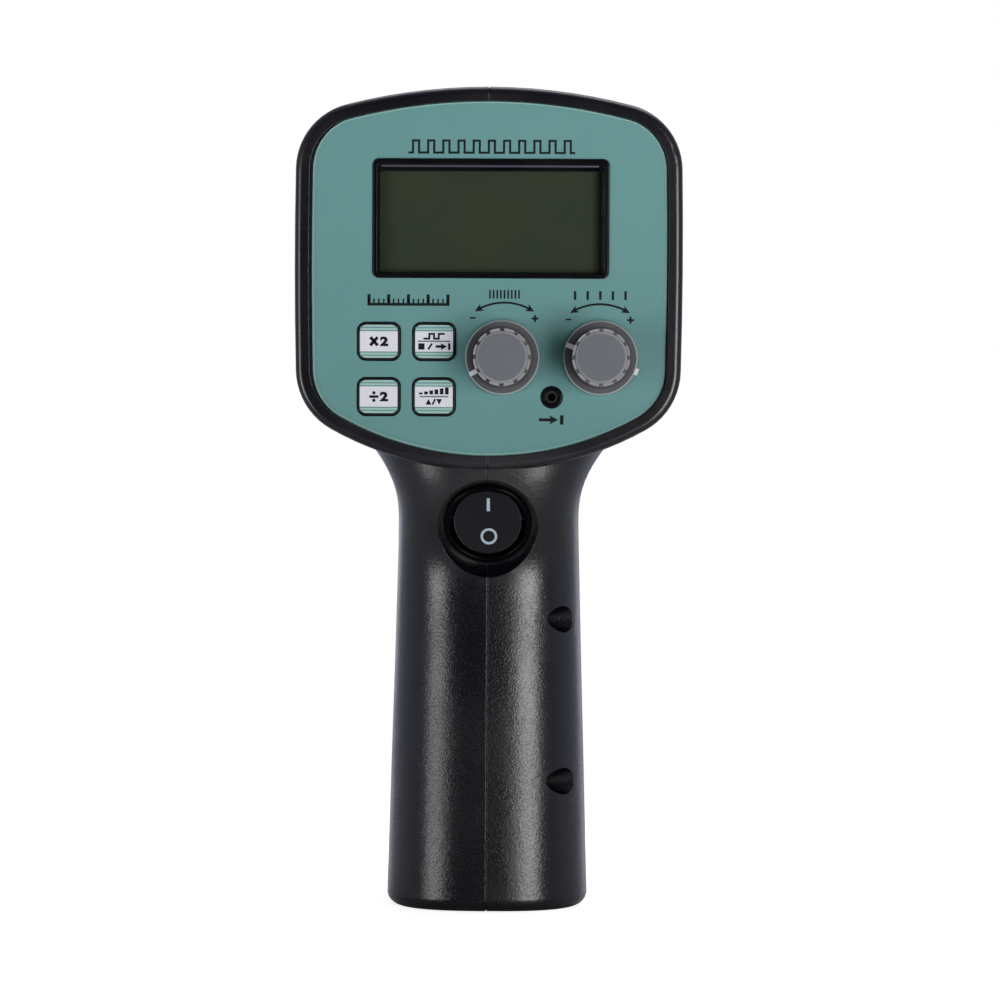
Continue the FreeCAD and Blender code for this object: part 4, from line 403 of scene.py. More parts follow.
@dataclass(frozen=True)
class ClearSheet(Finish):
    """Glass or acrylic with faint smears, clear or as a thin film over what lies behind it."""

    index: float = 1.49
    clear: float = 1.0
    cover: float = 1.0
    smears: tuple[float, ...] = (0.0, 0.03, 0.5, 0.8)

    def draw(self, graph: Graph) -> None:
        """Lays the smears."""
        graph.set(Base_Color=self.colour, IOR=self.index, Transmission_Weight=self.clear,
                  Alpha=self.cover, Roughness=graph.patches(12.0, 5.0, *self.smears))


@dataclass(frozen=True)
class KnobPlastic(Finish):
    """Grey knob: a painted highlight on the bevel round its cap, painted shade on its skirt and a
    painted highlight on its rim.
    """

    bevel_highlight: Colour
    skirt_shade: Colour
    rim_highlight: Colour
    centre: Vector
    cap_radius: float = 5.95
    barrel_radius: float = 6.44
    skirt_radius: float = 9.12

    def draw(self, graph: Graph) -> None:
        """Lays the painted rings of highlight and shade, the painted shadow at the barrel's foot
        and the painted highlight on the edges.
        """
        across = graph.sum("SUBTRACT", graph.axis("X"), self.centre.x)
        up = graph.sum("SUBTRACT", graph.axis("Z"), self.centre.z)
        radius = graph.sum("SQRT", graph.sum("ADD", graph.times(across, across),
                                             graph.times(up, up)))
        colour = graph.mottled(self.colour, 9.0, 0.03)
        # rings painted by radius: highlight on the cap's bevel, shade from the barrel's top over
        # the skirt, highlight on the rim
        for place, shown in ((self.cap_radius, self.bevel_highlight), (self.barrel_radius, self.skirt_shade),
                             (self.skirt_radius, self.rim_highlight)):
            step = graph.spread(radius, 0.0, 1.0, (place - 0.06) * MM, (place + 0.06) * MM)
            colour = graph.mix(step, colour, shown)
        # painted shadow round the barrel's foot
        foot = graph.times(graph.spread(radius, 0.75, 0.0, 7.3 * MM, 8.2 * MM),
                           graph.spread(radius, 0.0, 1.0, 7.15 * MM, 7.2 * MM))
        # painted highlight along the edges, in patches
        edge_highlight = graph.times(graph.edges(0.25), graph.patches(2.0, 3.0, 0.2, 0.8))
        graph.set(Base_Color=graph.mix(edge_highlight, graph.mix(foot, colour, shade(30)), self.rim_highlight),
                  Roughness=graph.patches(5.0, 3.0, 0.4, 0.5),
                  Normal=graph.bump(graph.noise(0.3), 0.006, 0.15))


@dataclass(frozen=True)
class DisplayGlass(Finish):
    """Liquid-crystal glass at rest: olive, with a painted shadow towards its right edge."""

    # X span in metres of the painted shadow towards the right edge
    dark: Point = (0.0259, 0.0282)

    def draw(self, graph: Graph) -> None:
        """Lays the clouds, the painted shadow along the right edge and the faint cells."""
        red, green, blue = self.colour
        clouds = graph.mix(graph.patches(18.0, 2.0, 0.0, 1.0, 0.3, 0.7),
                           (red * 0.9, green * 0.97, blue * 1.02),
                           (red * 1.1, green * 1.03, blue * 0.94))
        # painted shadow darkening towards the right edge
        colour = graph.mix(graph.spread(graph.axis("X"), 0.0, 0.85, *self.dark), clouds,
                           scaled(self.colour, 0.12))
        cell = graph.spread(graph.waves(1.4, graph.place), 0.0, 1.0, 0.9, 1.0)
        graph.set(Base_Color=graph.mix(graph.times(cell, 0.06), colour, shade(30)),
                  Specular_IOR_Level=0.15, Roughness=graph.patches(6.0, 2.0, 0.35, 0.45))


class CircuitBoard(Finish):
    """Green solder mask over copper tracks and pads."""

    def draw(self, graph: Graph) -> None:
        """Lays the tracks and the pads."""
        feeds = {"Vector": graph.mapped(Rotation=(math.pi / 2, 0.0, 0.0)), "Scale": 110.0,
                 "Mortar Size": 0.06}
        line = graph.add("ShaderNodeTexBrick", feeds, offset=0.37, offset_frequency=2,
                         squash=0.6).outputs["Fac"]
        cells = graph.add("ShaderNodeTexVoronoi", {"Vector": graph.place, "Scale": 312.5})
        pads = graph.spread(cells.outputs["Distance"], 1.0, 0.0, 0.14, 0.17)
        mask = graph.mix(line, self.colour, scaled(self.colour, 2.2, 0.01))
        graph.set(Base_Color=graph.mix(pads, mask, (0.62, 0.6, 0.55)),
                  Metallic=graph.times(pads, 0.9), Roughness=graph.patches(2.0, 3.0, 0.28, 0.42),
                  Normal=graph.bump(graph.sum("ADD", line, pads), 0.03))


@dataclass(frozen=True)
class RibbonJacket(Finish):
    """Flat cable: rounded conductors side by side, the first one marked."""

    pitch: float = 1.27
    marked_edge: float = -4.8

    def draw(self, graph: Graph) -> None:
        """Lays the ridges and the marked conductor."""
        ridges = graph.waves(self.pitch, graph.place)
        first = graph.spread(graph.axis("X"), 1.0, 0.0, self.marked_edge * MM,
                             (self.marked_edge + 0.1) * MM)
        graph.set(Base_Color=graph.mix(first, graph.mottled(self.colour, 4.0, 0.08),
                                       tint(150, 40, 36)),
                  Roughness=graph.spread(ridges, 0.4, 0.55), Normal=graph.bump(ridges, 0.15))


def shared_finishes() -> dict[str, Material]:
    """Makes every finish that isn't one piece's own, by name."""
    finishes = (
        # its edge colour is partly wear and partly a painted highlight
        SparkGrain("case_abs", tint(9, 10, 18), tint(44, 44, 52)),
        Moulding("panel_abs", tint(90, 135, 133), 0.45),
        Moulding("bezel_black", tint(8, 9, 13), 0.2, 0.2, 0.003, gloss=0.35),
        # lighter than the frame's black: painted highlight on the bead
        Moulding("bezel_bead", tint(70, 70, 84), 0.3, 0.2, 0.002),
        # edges lightened round the rocker: wear and a painted highlight
        Moulding("rocker_nylon", tint(22, 23, 28), 0.28, 0.2, 0.004, 0.05, 0.8, 0.2, shade(105),
                 0.25),
        Moulding("switch_frame", tint(4, 5, 8), 0.24, 0.2, 0.004, gloss=0.06),
        Moulding("white_plastic", shade(215)),
        Moulding("contact_rubber", tint(190, 150, 160), 0.6),
        Moulding("chip_epoxy", shade(38), 0.5, 0.15, 0.01),
        # light slabs on the knobs' lands as a painted highlight, their edges lighter still
        Moulding("knob_land", tint(142, 144, 146), 0.4, 0.25, 0.006, 0.08, 0.6, 0.1, shade(200)),
        Moulding("key_black", tint(8, 7, 12), 0.4, 0.25, 0.004, gloss=0.25),
        Moulding("white_ceramic", tint(222, 218, 208), 0.55),
        Moulding("black_rubber", shade(28), 0.7, 0.3, 0.02),
        Moulding("capacitor_sleeve", tint(28, 38, 70), 0.3, 0.3, 0.003),
        Moulding("winding_tape", tint(196, 160, 60), 0.4, 0.3, 0.01),
        Moulding("lead_brown", tint(110, 62, 40), 0.45),
        RibbonJacket("ribbon_grey", tint(150, 150, 155)),
        PrintedFilm("teal_film", tint(96, 146, 145)),
        # lighter teal painted along the film's edge as a highlight
        PrintInk("film_edge", tint(134, 178, 172)),
        PrintInk("black_ink", tint(8, 14, 18)),
        PrintInk("mark_white", tint(172, 190, 204)),
        PrintInk("white_paint", tint(228, 230, 238), 0.4),
        PrintInk("key_centre", tint(219, 221, 231), 0.42),
        PrintInk("key_band", tint(157, 193, 187), 0.42),
        PrintInk("key_line", tint(96, 142, 138), 0.42),
        PrintInk("key_rule", tint(118, 120, 128), 0.42),
        ClearSheet("clear_acrylic", (0.97, 0.98, 0.98)),
        ClearSheet("quartz", (0.98, 0.98, 1.0), 1.46),
        ClearSheet("window_acrylic", shade(20), 1.49, 0.0, 0.16, (0.04, 0.12, 0.45, 0.75)),
        DisplayGlass("display_glass", tint(69, 79, 61)),
        CircuitBoard("circuit_board", (0.01, 0.12, 0.045)),
        Metal("plated_steel", shade(175), 0.3),
        Metal("nickel_turned", shade(200), 0.22),
        Metal("jack_contact", shade(52), 0.45),
        Metal("blackened_steel", shade(70), 0.4),
        Metal("tinned_brass", tint(205, 185, 130), 0.3),
        Metal("laminated_steel", shade(110), 0.45, Brushing.ALONG_X),
        Metal("copper_wire", tint(190, 110, 60), 0.35, Brushing.ALONG_X),
        Metal("spun_aluminium", shade(240), 0.1, Brushing.TURNED, tuple(middle("reflector"))))
    return {finish.name: finish.build() for finish in finishes}


# ------------------------------------------------------------------ mesh tools
def shown(name: str, data: bpy.types.ID) -> bpy.types.Object:
    """New object in the scene, of a mesh, a text, a lamp or a camera."""
    made = bpy.data.objects.new(name, data)
    bpy.context.scene.collection.objects.link(made)
    return made


def paint(mesh: Mesh, material: Material) -> None:
    """Gives a mesh one finish."""
    mesh.materials.clear()
    mesh.materials.append(material)


def dress(material: Material, *nodes: str) -> None:
    """Gives model nodes that stay a finish.

    Args:
        material: the finish.
        nodes: their names.
    """
    for node in nodes:
        paint(frame["nodes"][node].data, material)
        log.info("%s dressed as %s", node, material.name)


def opened(*parts: Mesh, weld: float = 0.0) -> bmesh.types.BMesh:
    """Meshes as one that can be edited, with the points within a weld's reach made one.

    Args:
        parts: the meshes.
        weld: metres below which two points are one, or 0.

    Returns:
        The editable mesh.
    """
    made = bmesh.new()
    for part in parts:
        made.from_mesh(part)
    if weld:
        bmesh.ops.remove_doubles(made, verts=made.verts, dist=weld)
    return made


def shut(made: bmesh.types.BMesh, outwards: bool = False) -> Mesh:
    """Plain mesh of an edited one, whose faces may be turned outwards first.

    Args:
        made: the edited mesh, which is let go.
        outwards: whether they are turned.

    Returns:
        The plain mesh.
    """
    if outwards:
        bmesh.ops.recalc_face_normals(made, faces=made.faces)
    mesh = bpy.data.meshes.new("shape")
    made.to_mesh(mesh)
    made.free()
    return mesh


def joined(parts: Sequence[Mesh]) -> Mesh:
    """One mesh of several."""
    return shut(opened(*parts))


def skin(rings: Sequence[Sequence[Vector]], closed: bool = False) -> Mesh:
    """Closed mesh through rings of points, all in metres.

    Args:
        rings: rings with the same number of points.
        closed: whether the last ring joins the first, rather than both being filled.

    Returns:
        The mesh, its faces pointing outwards.
    """
    made = bmesh.new()
    rows = [[made.verts.new(point) for point in points] for points in rings]
    for first, second in zip(rows, rows[1:] + rows[:1] * closed):
        for index in range(len(first)):
            after = (index + 1) % len(first)
            made.faces.new((first[index], first[after], second[after], second[index]))
    if not closed:
        made.faces.new(rows[0][::-1])
        made.faces.new(rows[-1])
    return shut(made, True)


def smoothed(mesh: Mesh, angle: float) -> Mesh:
    """Shades a mesh smooth, apart from edges sharper than an angle in degrees.

    Args:
        mesh: the mesh.
        angle: the angle.

    Returns:
        The same mesh.
    """
    mesh.shade_smooth()
    mesh.set_sharp_from_angle(angle=math.radians(angle))
    return mesh


def arc(centre: Point, radius: float, start: float, end: float, steps: int) -> Outline:
    """Points of an arc, with its angles in degrees."""
    angles = [math.radians(start + (end - start) * step / steps) for step in range(steps + 1)]
    return [(centre[0] + radius * math.cos(angle), centre[1] + radius * math.sin(angle))
            for angle in angles]


def circle(radius: float, count: int, centre: Point = ORIGIN) -> Outline:
    """Points evenly round a circle."""
    return arc(centre, radius, 0, 360 - 360 / count, count - 1)


def box_outline(width: float, height: float, x: float = 0.0, z: float = 0.0) -> Outline:
    """Rectangle round a middle."""
    return [(x + right * width / 2, z + up * height / 2)
            for right, up in ((-1, -1), (1, -1), (1, 1), (-1, 1))]


def rounded_outline(width: float, height: float, corner: float, steps: int = 8) -> Outline:
    """Rounded rectangle round the origin, anticlockwise from its right side.

    Args:
        width: its width.
        height: its height.
        corner: radius of its corners.
        steps: parts of each corner.

    Returns:
        The outline.
    """
    points = []
    for quarter, (right, up) in enumerate(((1, 1), (-1, 1), (-1, -1), (1, -1))):
        centre = (right * (width / 2 - corner), up * (height / 2 - corner))
        points += arc(centre, corner, 90 * quarter, 90 * (quarter + 1), steps)
    return points


def stroke(points: Outline, width: float) -> Outline:
    """Outline of a line of even width through points, with mitred corners.

    Args:
        points: the middle of the line.
        width: its width.

    Returns:
        The closed outline.
    """
    sides: tuple[Outline, Outline] = ([], [])
    for index, (x, z) in enumerate(points):
        before = points[max(index - 1, 0)]
        after = points[min(index + 1, len(points) - 1)]
        first = Vector((x - before[0], z - before[1]))
        second = Vector((after[0] - x, after[1] - z))
        first = (first if first.length else second).normalized()
        second = (second if second.length else first).normalized()
        along = (first + second).normalized()
        reach = width / 2 / max(along.dot(second), 0.3)
        for side, sign in zip(sides, (1, -1)):
            side.append((x - sign * along.y * reach, z + sign * along.x * reach))
    return sides[0] + sides[1][::-1]


def drawn_in(points: Outline, insets: Sequence[float]) -> Outline:
    """A closed outline, drawn in by a distance that blends from side to side.

    Args:
        points: the outline.
        insets: the distances at its left, right, bottom and top.

    Returns:
        The new outline, point for point.
    """
    left, right, low, high = insets
    before, after = points[-1:] + points[:-1], points[1:] + points[:1]
    area = sum(a[0] * b[1] - b[0] * a[1] for a, b in zip(points, after))
    drawn = []
    for last, (x, z), following in zip(before, points, after):
        along = Vector((following[0] - last[0], following[1] - last[1])).normalized()
        along *= 1 if area > 0 else -1
        inset = ((right if along.y > 0 else left) * along.y ** 2
                 + (low if along.x > 0 else high) * along.x ** 2)
        drawn.append((x - along.y * inset, z + along.x * inset))
    return drawn


def ring(outline: Outline, y: float) -> list[Vector]:
    """An outline in X and Z at one Y, all in millimetres, as points in metres."""
    return [Vector((x, y, z)) * MM for x, z in outline]


def slab(outline: Outline, front: float, thickness: float = PRINT) -> Mesh:
    """Thin plate that faces the holder, its outline, front and thickness in millimetres."""
    return skin([ring(outline, front), ring(outline, front + thickness)])


def hoop(outer: Outline, inner: Outline, front: float, thickness: float = PRINT) -> Mesh:
    """Thin plate between two outlines with the same number of points, facing the holder."""
    back = front + thickness
    return skin([ring(outer, front), ring(inner, front), ring(inner, back), ring(outer, back)],
                True)


def moved(mesh: Mesh, matrix: Matrix) -> Mesh:
    """The same mesh, placed by a matrix."""
    mesh.transform(matrix)
    return mesh


def numeral(text: str, size: Point, centre: Point, front: float, weight: float) -> Mesh:
    """Printed numeral, fitted into a box.

    Args:
        text: the numeral.
        size: width and height of the box in millimetres.
        centre: X and Z of its middle.
        front: Y of the print's face.
        weight: how far its strokes are thickened.

    Returns:
        The mesh in metres.
    """
    curve = bpy.data.curves.new("numeral", "FONT")
    curve.body, curve.offset, curve.extrude, curve.resolution_u = text, weight, 0.5, 6
    holder = shown("numeral", curve)
    mesh = bpy.data.meshes.new_from_object(holder)
    bpy.data.objects.remove(holder)
    bpy.data.curves.remove(curve)
    low, high = ([pick(vertex.co[axis] for vertex in mesh.vertices) for axis in (0, 1)]
                 for pick in (min, max))
    for vertex in mesh.vertices:
        x, z = (centre[axis] + (vertex.co[axis] - (low[axis] + high[axis]) / 2)
                * size[axis] / (high[axis] - low[axis]) for axis in (0, 1))
        vertex.co = Vector((x, front + (0.0 if vertex.co.z > 0 else PRINT), z)) * MM
    return shut(opened(mesh, weld=WELD / 100), True)


def outer_line(node: str) -> Outline:
    """Outer boundary of a plate's face.

    Args:
        node: model node with a flat face towards the holder.

    Returns:
        The boundary in order, in millimetres.
    """
    front = front_of(node)
    made = opened(frame["nodes"][node].data, weld=WELD)
    faces = {face for face in made.faces
             if all(abs(vertex.co.y / MM - front) < 0.002 for vertex in face.verts)}
    links: dict = {}
    for edge in made.edges:
        if sum(face in faces for face in edge.link_faces) == 1:
            for vertex in edge.verts:
                links.setdefault(vertex, []).append(edge.other_vert(vertex))
    start = max(links, key=lambda vertex: vertex.co.x)
    loop = [start]
    step = links[start][0]
    while step is not start:
        loop.append(step)
        step = next(other for other in links[step] if other is not loop[-2])
    points = [(vertex.co.x / MM, vertex.co.z / MM) for vertex in loop]
    made.free()
    return points


class Repeats(Nodes):
    """Node tree that repeats a shape in a row, round an axis, or both."""

    def __init__(self) -> None:
        """Builds the tree with its named inputs."""
        super().__init__(bpy.data.node_groups.new("repeats", "GeometryNodeTree"))
        face = self.tree.interface
        self.keys = {}
        for name, kind in (("Shape", "Geometry"), ("Count", "Int"), ("Step", "Vector"),
                           ("Turn", "Vector"), ("Centre", "Vector"), ("Finish", "Material")):
            made = face.new_socket(name=name, in_out="INPUT", socket_type=f"NodeSocket{kind}")
            self.keys[name] = made.identifier
        face.new_socket(name="Shape", in_out="OUTPUT", socket_type="NodeSocketGeometry")
        given = self.add("NodeGroupInput").outputs
        line = self.add("GeometryNodeMeshLine",
                        {"Count": given["Count"], "Offset": given["Step"]}, mode="OFFSET")
        index = self.add("GeometryNodeInputIndex")
        angle = self.add("ShaderNodeVectorMath", {0: given["Turn"], "Scale": index.outputs[0]},
                         operation="SCALE")
        turn = self.add("FunctionNodeEulerToRotation", {0: angle.outputs[0]})
        made = self.add("GeometryNodeInstanceOnPoints", {
            "Points": line.outputs[0], "Instance": given["Shape"], "Rotation": turn.outputs[0]})
        for kind, feeds in (("GeometryNodeTransform", {"Translation": given["Centre"]}),
                            ("GeometryNodeRealizeInstances", {}),
                            ("GeometryNodeSetMaterial", {"Material": given["Finish"]}),
                            ("NodeGroupOutput", {})):
            made = self.add(kind, {0: made.outputs[0], **feeds})

    def row(self, shape: Mesh, count: int, finish: Material, step: Sequence[float] = STILL,
            turn: Sequence[float] = STILL, centre: Sequence[float] = STILL) -> Mesh:
        """Repeats a shape.

        Args:
            shape: the first one, in metres, round the axis where it is turned.
            count: how many.
            finish: its material.
            step: metres from one to the next.
            turn: degrees from one to the next.
            centre: metres that all of them are moved at the end.

        Returns:
            One plain mesh of all of them.
        """
        holder = shown("repeats", shape)
        modifier = holder.modifiers.new("repeats", "NODES")
        modifier.node_group = self.tree
        turned = tuple(math.radians(angle) for angle in turn)
        for name, value in (("Count", count), ("Step", tuple(step)), ("Turn", turned),
                            ("Centre", tuple(centre)), ("Finish", finish)):
            modifier[self.keys[name]] = value
        bpy.context.view_layer.update()
        graph = bpy.context.evaluated_depsgraph_get()
        made = bpy.data.meshes.new_from_object(holder.evaluated_get(graph), depsgraph=graph)
        holder.modifiers.remove(modifier)
        bpy.data.objects.remove(holder)
        return made


# ------------------------------------------------------------------ studio
@dataclass
class Studio:
    """Camera, lamps and pale surroundings, in metres."""

    station: tuple[float, float, float] = (0.01236, -1.045, 0.13413)
    aim: tuple[float, float, float] = (0.00316, -0.045, 0.1054)
    width_in_view: float = 0.2534
    roll: float = 0.0048
    film_width: float = 36.0
    floor_radius: float = 0.4
    floor_glow: float = 0.85
    fade: Point = (0.1, 0.32)

    def camera(self) -> None:
        """Camera at arm's length, a little above the panel and to its right."""
        data = bpy.data.cameras.new("camera")
        away = Vector(self.station) - Vector(self.aim)
        data.sensor_width = self.film_width
        data.lens = self.film_width * away.length / self.width_in_view
        data.clip_start, data.clip_end = 0.05, 40.0
        camera = shown("camera", data)
        camera.location = self.station
        upright = away.to_track_quat("Z", "Y").to_matrix()
        camera.rotation_euler = (upright @ Matrix.Rotation(self.roll, 3, "Z")).to_euler()
        bpy.context.scene.camera = camera

    def lamp(self, name: str, azimuth: float, elevation: float, distance: float,
             size: Point, watts: float, colour: Colour = WHITE) -> None:
        """Soft lamp that faces the object.

        Args:
            name: name of the lamp.
            azimuth: degrees round the object, 0 behind the camera and 90 to the right.
            elevation: degrees above the horizon.
            distance: metres from the object.
            size: width and height in metres.
            watts: power.
            colour: colour of its light.
        """
        data = bpy.data.lights.new(name, "AREA")
        data.shape = "RECTANGLE"
        data.size, data.size_y = size
        data.energy, data.color = watts, colour
        lamp = shown(name, data)
        around, up = math.radians(azimuth), math.radians(elevation)
        away = Vector((math.sin(around) * math.cos(up), -math.cos(around) * math.cos(up),
                       math.sin(up)))
        lamp.location = away * distance + Vector((0.0, 0.0, self.aim[2]))
        lamp.rotation_euler = away.to_track_quat("Z", "Y").to_euler()

    def lamps(self) -> None:
        """Two tall soft lamps beside the camera, and weaker ones from above and behind."""
        self.lamp("right_lamp", 29.0, -7.0, 1.6, (0.62, 1.1), 18.5, (1.0, 0.965, 0.955))
        self.lamp("left_lamp", -43.0, -13.0, 1.6, (0.66, 1.15), 12.3)
        self.lamp("top_lamp", 150.0, 72.0, 1.6, (1.4, 1.0), 10.0)
        self.lamp("rear_right_lamp", 155.0, 15.0, 1.8, (0.7, 1.4), 1.5)
        self.lamp("rear_left_lamp", -160.0, 15.0, 1.8, (0.7, 1.4), 1.5)

    def surroundings(self) -> None:
        """Even pale world that camera and glass see white, and gloss sees dark in front."""
        world = bpy.data.worlds.new("surroundings")
        bpy.context.scene.world = world
        world.use_nodes = True
        nodes = Nodes(world.node_tree)
        ambient = nodes.tree.nodes["Background"]
        nodes.feed(ambient.inputs["Color"], (0.96, 0.97, 1.0))
        nodes.feed(ambient.inputs["Strength"], 0.12)
        place = nodes.add("ShaderNodeTexCoord").outputs["Generated"]
        depth = nodes.add("ShaderNodeSeparateXYZ", {0: place}).outputs["Y"]
        mirrored = nodes.add("ShaderNodeBackground", {
            "Color": (0.87, 0.91, 1.12), "Strength": nodes.spread(depth, 0.02, 0.42, -0.95, -0.1)})
        white = nodes.add("ShaderNodeBackground", {"Color": WHITE})
        look = ambient.outputs[0]
        for kind, other in (("Glossy", mirrored), ("Transmission", white), ("Camera", white)):
            look = nodes.either(nodes.ray(kind), look, other.outputs[0])
        nodes.feed(nodes.tree.nodes["World Output"].inputs["Surface"], look)

    def floor(self) -> None:
        """Pale floor that keeps a soft shadow near the object and fades to white far away."""
        mesh = bpy.data.meshes.new("floor")
        edge = [(*point, 0.0) for point in circle(self.floor_radius, 96)]
        mesh.from_pydata(edge, [], [tuple(range(len(edge)))])
        graph = Graph("floor_paper")
        camera, paper = graph.ray("Camera"), graph.shader.outputs["BSDF"]
        graph.set(Base_Color=graph.mix(graph.noise(900.0), shade(228), shade(232)),
                  Roughness=graph.spread(camera, 0.15, 0.9))
        reach = graph.add("ShaderNodeVectorMath", {0: graph.place}, operation="LENGTH")
        glow, white = (graph.add("ShaderNodeEmission", {"Strength": strength}).outputs[0]
                       for strength in (self.floor_glow, 1.0))
        lit = graph.add("ShaderNodeAddShader", {0: paper, 1: glow}).outputs[0]
        faded = graph.either(graph.spread(reach.outputs["Value"], 0.0, 1.0, *self.fade), lit, white)
        graph.feed(graph.tree.nodes["Material Output"].inputs["Surface"],
                   graph.either(camera, paper, faded))
        paint(mesh, graph.material)
        floor = shown("floor", mesh)

    def build(self) -> None:
        """Sets up the whole studio."""
        bpy.context.scene.view_settings.view_transform = "Standard"
        self.camera()
        self.lamps()
        self.surroundings()
        self.floor()


# ------------------------------------------------------------------ sub-assemblies
@dataclass
class Assembly:
    """A sub-assembly: model nodes that stay, by finish, and the pieces that it adds."""

    finishes: dict[str, Material]
    repeats: Repeats
    looks: ClassVar[dict[str, tuple[str, ...]]] = {}

    def piece(self, name: str, body: str, finish: str, mesh: Mesh, slot: str,
              *replaced: str) -> None:
        """Makes a mesh a piece of the object.

        Args:
            name: name of the piece.
            body: body that it moves with.
            finish: name of its finish.
            mesh: its mesh, in place and in metres.
            slot: the record's material slot; not used.
            replaced: model nodes that it stands for.
        """
        mesh.name = name
        paint(mesh, self.finishes[finish])
        made = shown(name, mesh)
        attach(made, body)
        if replaced:
            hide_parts(*replaced)
        log.info("%s rides on %s", name, body)

    def add(self) -> None:
        """Builds the pieces, where there are any."""

    def build(self) -> None:
        """Dresses the model nodes and builds the pieces."""
        for finish, nodes in self.looks.items():
            dress(self.finishes[finish], *nodes)
        self.add()


class Case(Assembly):
    """The two housing halves, the front ring and what holds them."""

    looks = {"case_abs": ("housing_left", "housing_right", "front_bezel"),
             "plated_steel": ("housing_screws",), "blackened_steel": ("bezel_screws",)}


@dataclass(frozen=True)
class Ticks:
    """Row of upright ticks that stand on one level, from the first one's lower left corner."""

    x: float
    z: float
    width: float
    height: float
    pitch: float
    count: int


@dataclass
class PanelPrint(Assembly):
    """Panel, its teal film and everything printed on the film, in millimetres."""

    looks = {"panel_abs": ("control_panel",), "teal_film": ("panel_overlay",)}
    title: Point = (-20.45, 193.0)
    title_pulses: int = 11
    title_pitch: float = 3.84
    title_height: float = 3.6
    title_weight: float = 0.56
    scale: tuple[float, ...] = (20.8, 0.7, -20.3, 154.85)  # width, height, middle
    minor_ticks: Ticks = Ticks(-30.5, 154.5, 0.4, 1.8, 1.25, 17)
    major_ticks: Ticks = Ticks(-30.7, 154.5, 0.8, 2.9, 5.0, 5)
    fine_ticks: Ticks = Ticks(0.15, 156.4, 0.42, 2.2, 0.92, 9)
    coarse_ticks: Ticks = Ticks(21.6, 156.2, 0.62, 2.2, 3.2, 5)
    arcs: tuple[tuple[float, ...], ...] = ((-3.2, 11.3, 153.3), (20.95, 35.55, 153.0))
    arc_rise: float = 2.1
    arc_weight: float = 0.52
    arc_drawn: float = 0.86
    arrow_slope: float = 0.9
    arrow_size: Point = (2.2, 1.0)
    arrow_reach: float = 0.35
    sign_rows: tuple[tuple[float, ...], ...] = ((-4.0, 11.8, 151.5), (20.3, 36.0, 151.2))
    input_mark: Point = (12.9, 125.75)
    # painted shadow of the gap between rim and film, widest on the left
    gap_shadow: tuple[float, ...] = (0.6, 0.2, 0.03, 0.03)  # left, right, bottom, top
    # widths of a lighter band painted inside that shadow as a highlight along the film's edge
    light: tuple[float, ...] = (0.5, 0.55, 0.5, 0.3)

    def plate(self, outline: Outline, lift: float = 0.0) -> Mesh:
        """Print of an outline on the film, or over other print."""
        return slab(outline, front_of("panel_overlay") - PRINT - lift)

    def arrow(self, tip: Vector, along: Vector, length: float, half: float) -> Mesh:
        """Arrow head with a notched back.

        Args:
            tip: its point.
            along: its direction.
            length: its length.
            half: half its width.

        Returns:
            The mesh.
        """
        side = Vector((-along.y, along.x))
        back = tip - along * length
        points = (tip, back + side * half, back + along * length * 0.25, back - side * half)
        return self.plate([(point.x, point.y) for point in points])

    def turn_arc(self, left: float, right: float, low: float) -> list[Mesh]:
        """Curved line with an arrow head at each end, over a knob.

        Args:
            left: X of its left tip.
            right: X of its right tip.
            low: Z of both.

        Returns:
            The meshes.
        """
        half = (right - left) / 2
        radius = (half ** 2 + self.arc_rise ** 2) / (2 * self.arc_rise)
        centre = ((left + right) / 2, low + self.arc_rise - radius)
        reach = math.degrees(math.asin(half / radius))
        drawn, slope = reach * self.arc_drawn, math.radians(reach * self.arrow_slope)
        parts = [self.plate(stroke(arc(centre, radius, 90 + drawn, 90 - drawn, 24),
                                   self.arc_weight))]
        for x, sign in ((left, -1), (right, 1)):
            along = Vector((sign * math.cos(slope), -math.sin(slope)))
            parts.append(self.arrow(Vector((x, low)) + along * self.arrow_reach, along,
                                    *self.arrow_size))
        return parts

    def signs(self, left: float, right: float, z: float) -> list[Mesh]:
        """Minus to the left of a knob and plus to its right."""
        return [self.plate(box_outline(1.45, 0.42, left, z)),
                self.plate(box_outline(1.75, 0.5, right, z - 0.1)),
                self.plate(box_outline(0.5, 1.75, right, z - 0.1), LIFT)]

    def ticks(self, row: Ticks) -> Mesh:
        """A row of ticks."""
        shape = self.plate(box_outline(row.width, row.height, row.x + row.width / 2,
                                       row.z + row.height / 2))
        return self.repeats.row(shape, row.count, self.finishes["black_ink"],
                                (row.pitch * MM, 0.0, 0.0))

    def title_line(self) -> Mesh:
        """Train of flash pulses across the top of the panel.

        Returns:
            The mesh.
        """
        x, z = self.title
        half, pitch = self.title_weight / 2, self.title_pitch
        low, top = z + half, z + self.title_height - half
        line = [(x + pitch * share, height) for share, height in
                ((0.0, low), (0.3, low), (0.3, top), (0.7, top), (0.7, low), (1.0, low))]
        return self.repeats.row(self.plate(stroke(line, self.title_weight)), self.title_pulses,
                                self.finishes["black_ink"], (pitch * MM, 0.0, 0.0))

    def turn_marks(self) -> list[Mesh]:
        """Arcs and signs over both knobs."""
        return ([part for place in self.arcs for part in self.turn_arc(*place)]
                + [part for place in self.sign_rows for part in self.signs(*place)])

    def trigger_input(self) -> list[Mesh]:
        """Arrow that runs into a bar, under the jack."""
        x, z = self.input_mark
        return [self.plate(box_outline(3.2, 0.8, x + 1.6, z)),
                self.arrow(Vector((x + 4.9, z)), Vector((1.0, 0.0)), 2.3, 1.2),
                self.plate(box_outline(0.9, 2.4, x + 5.8, z))]

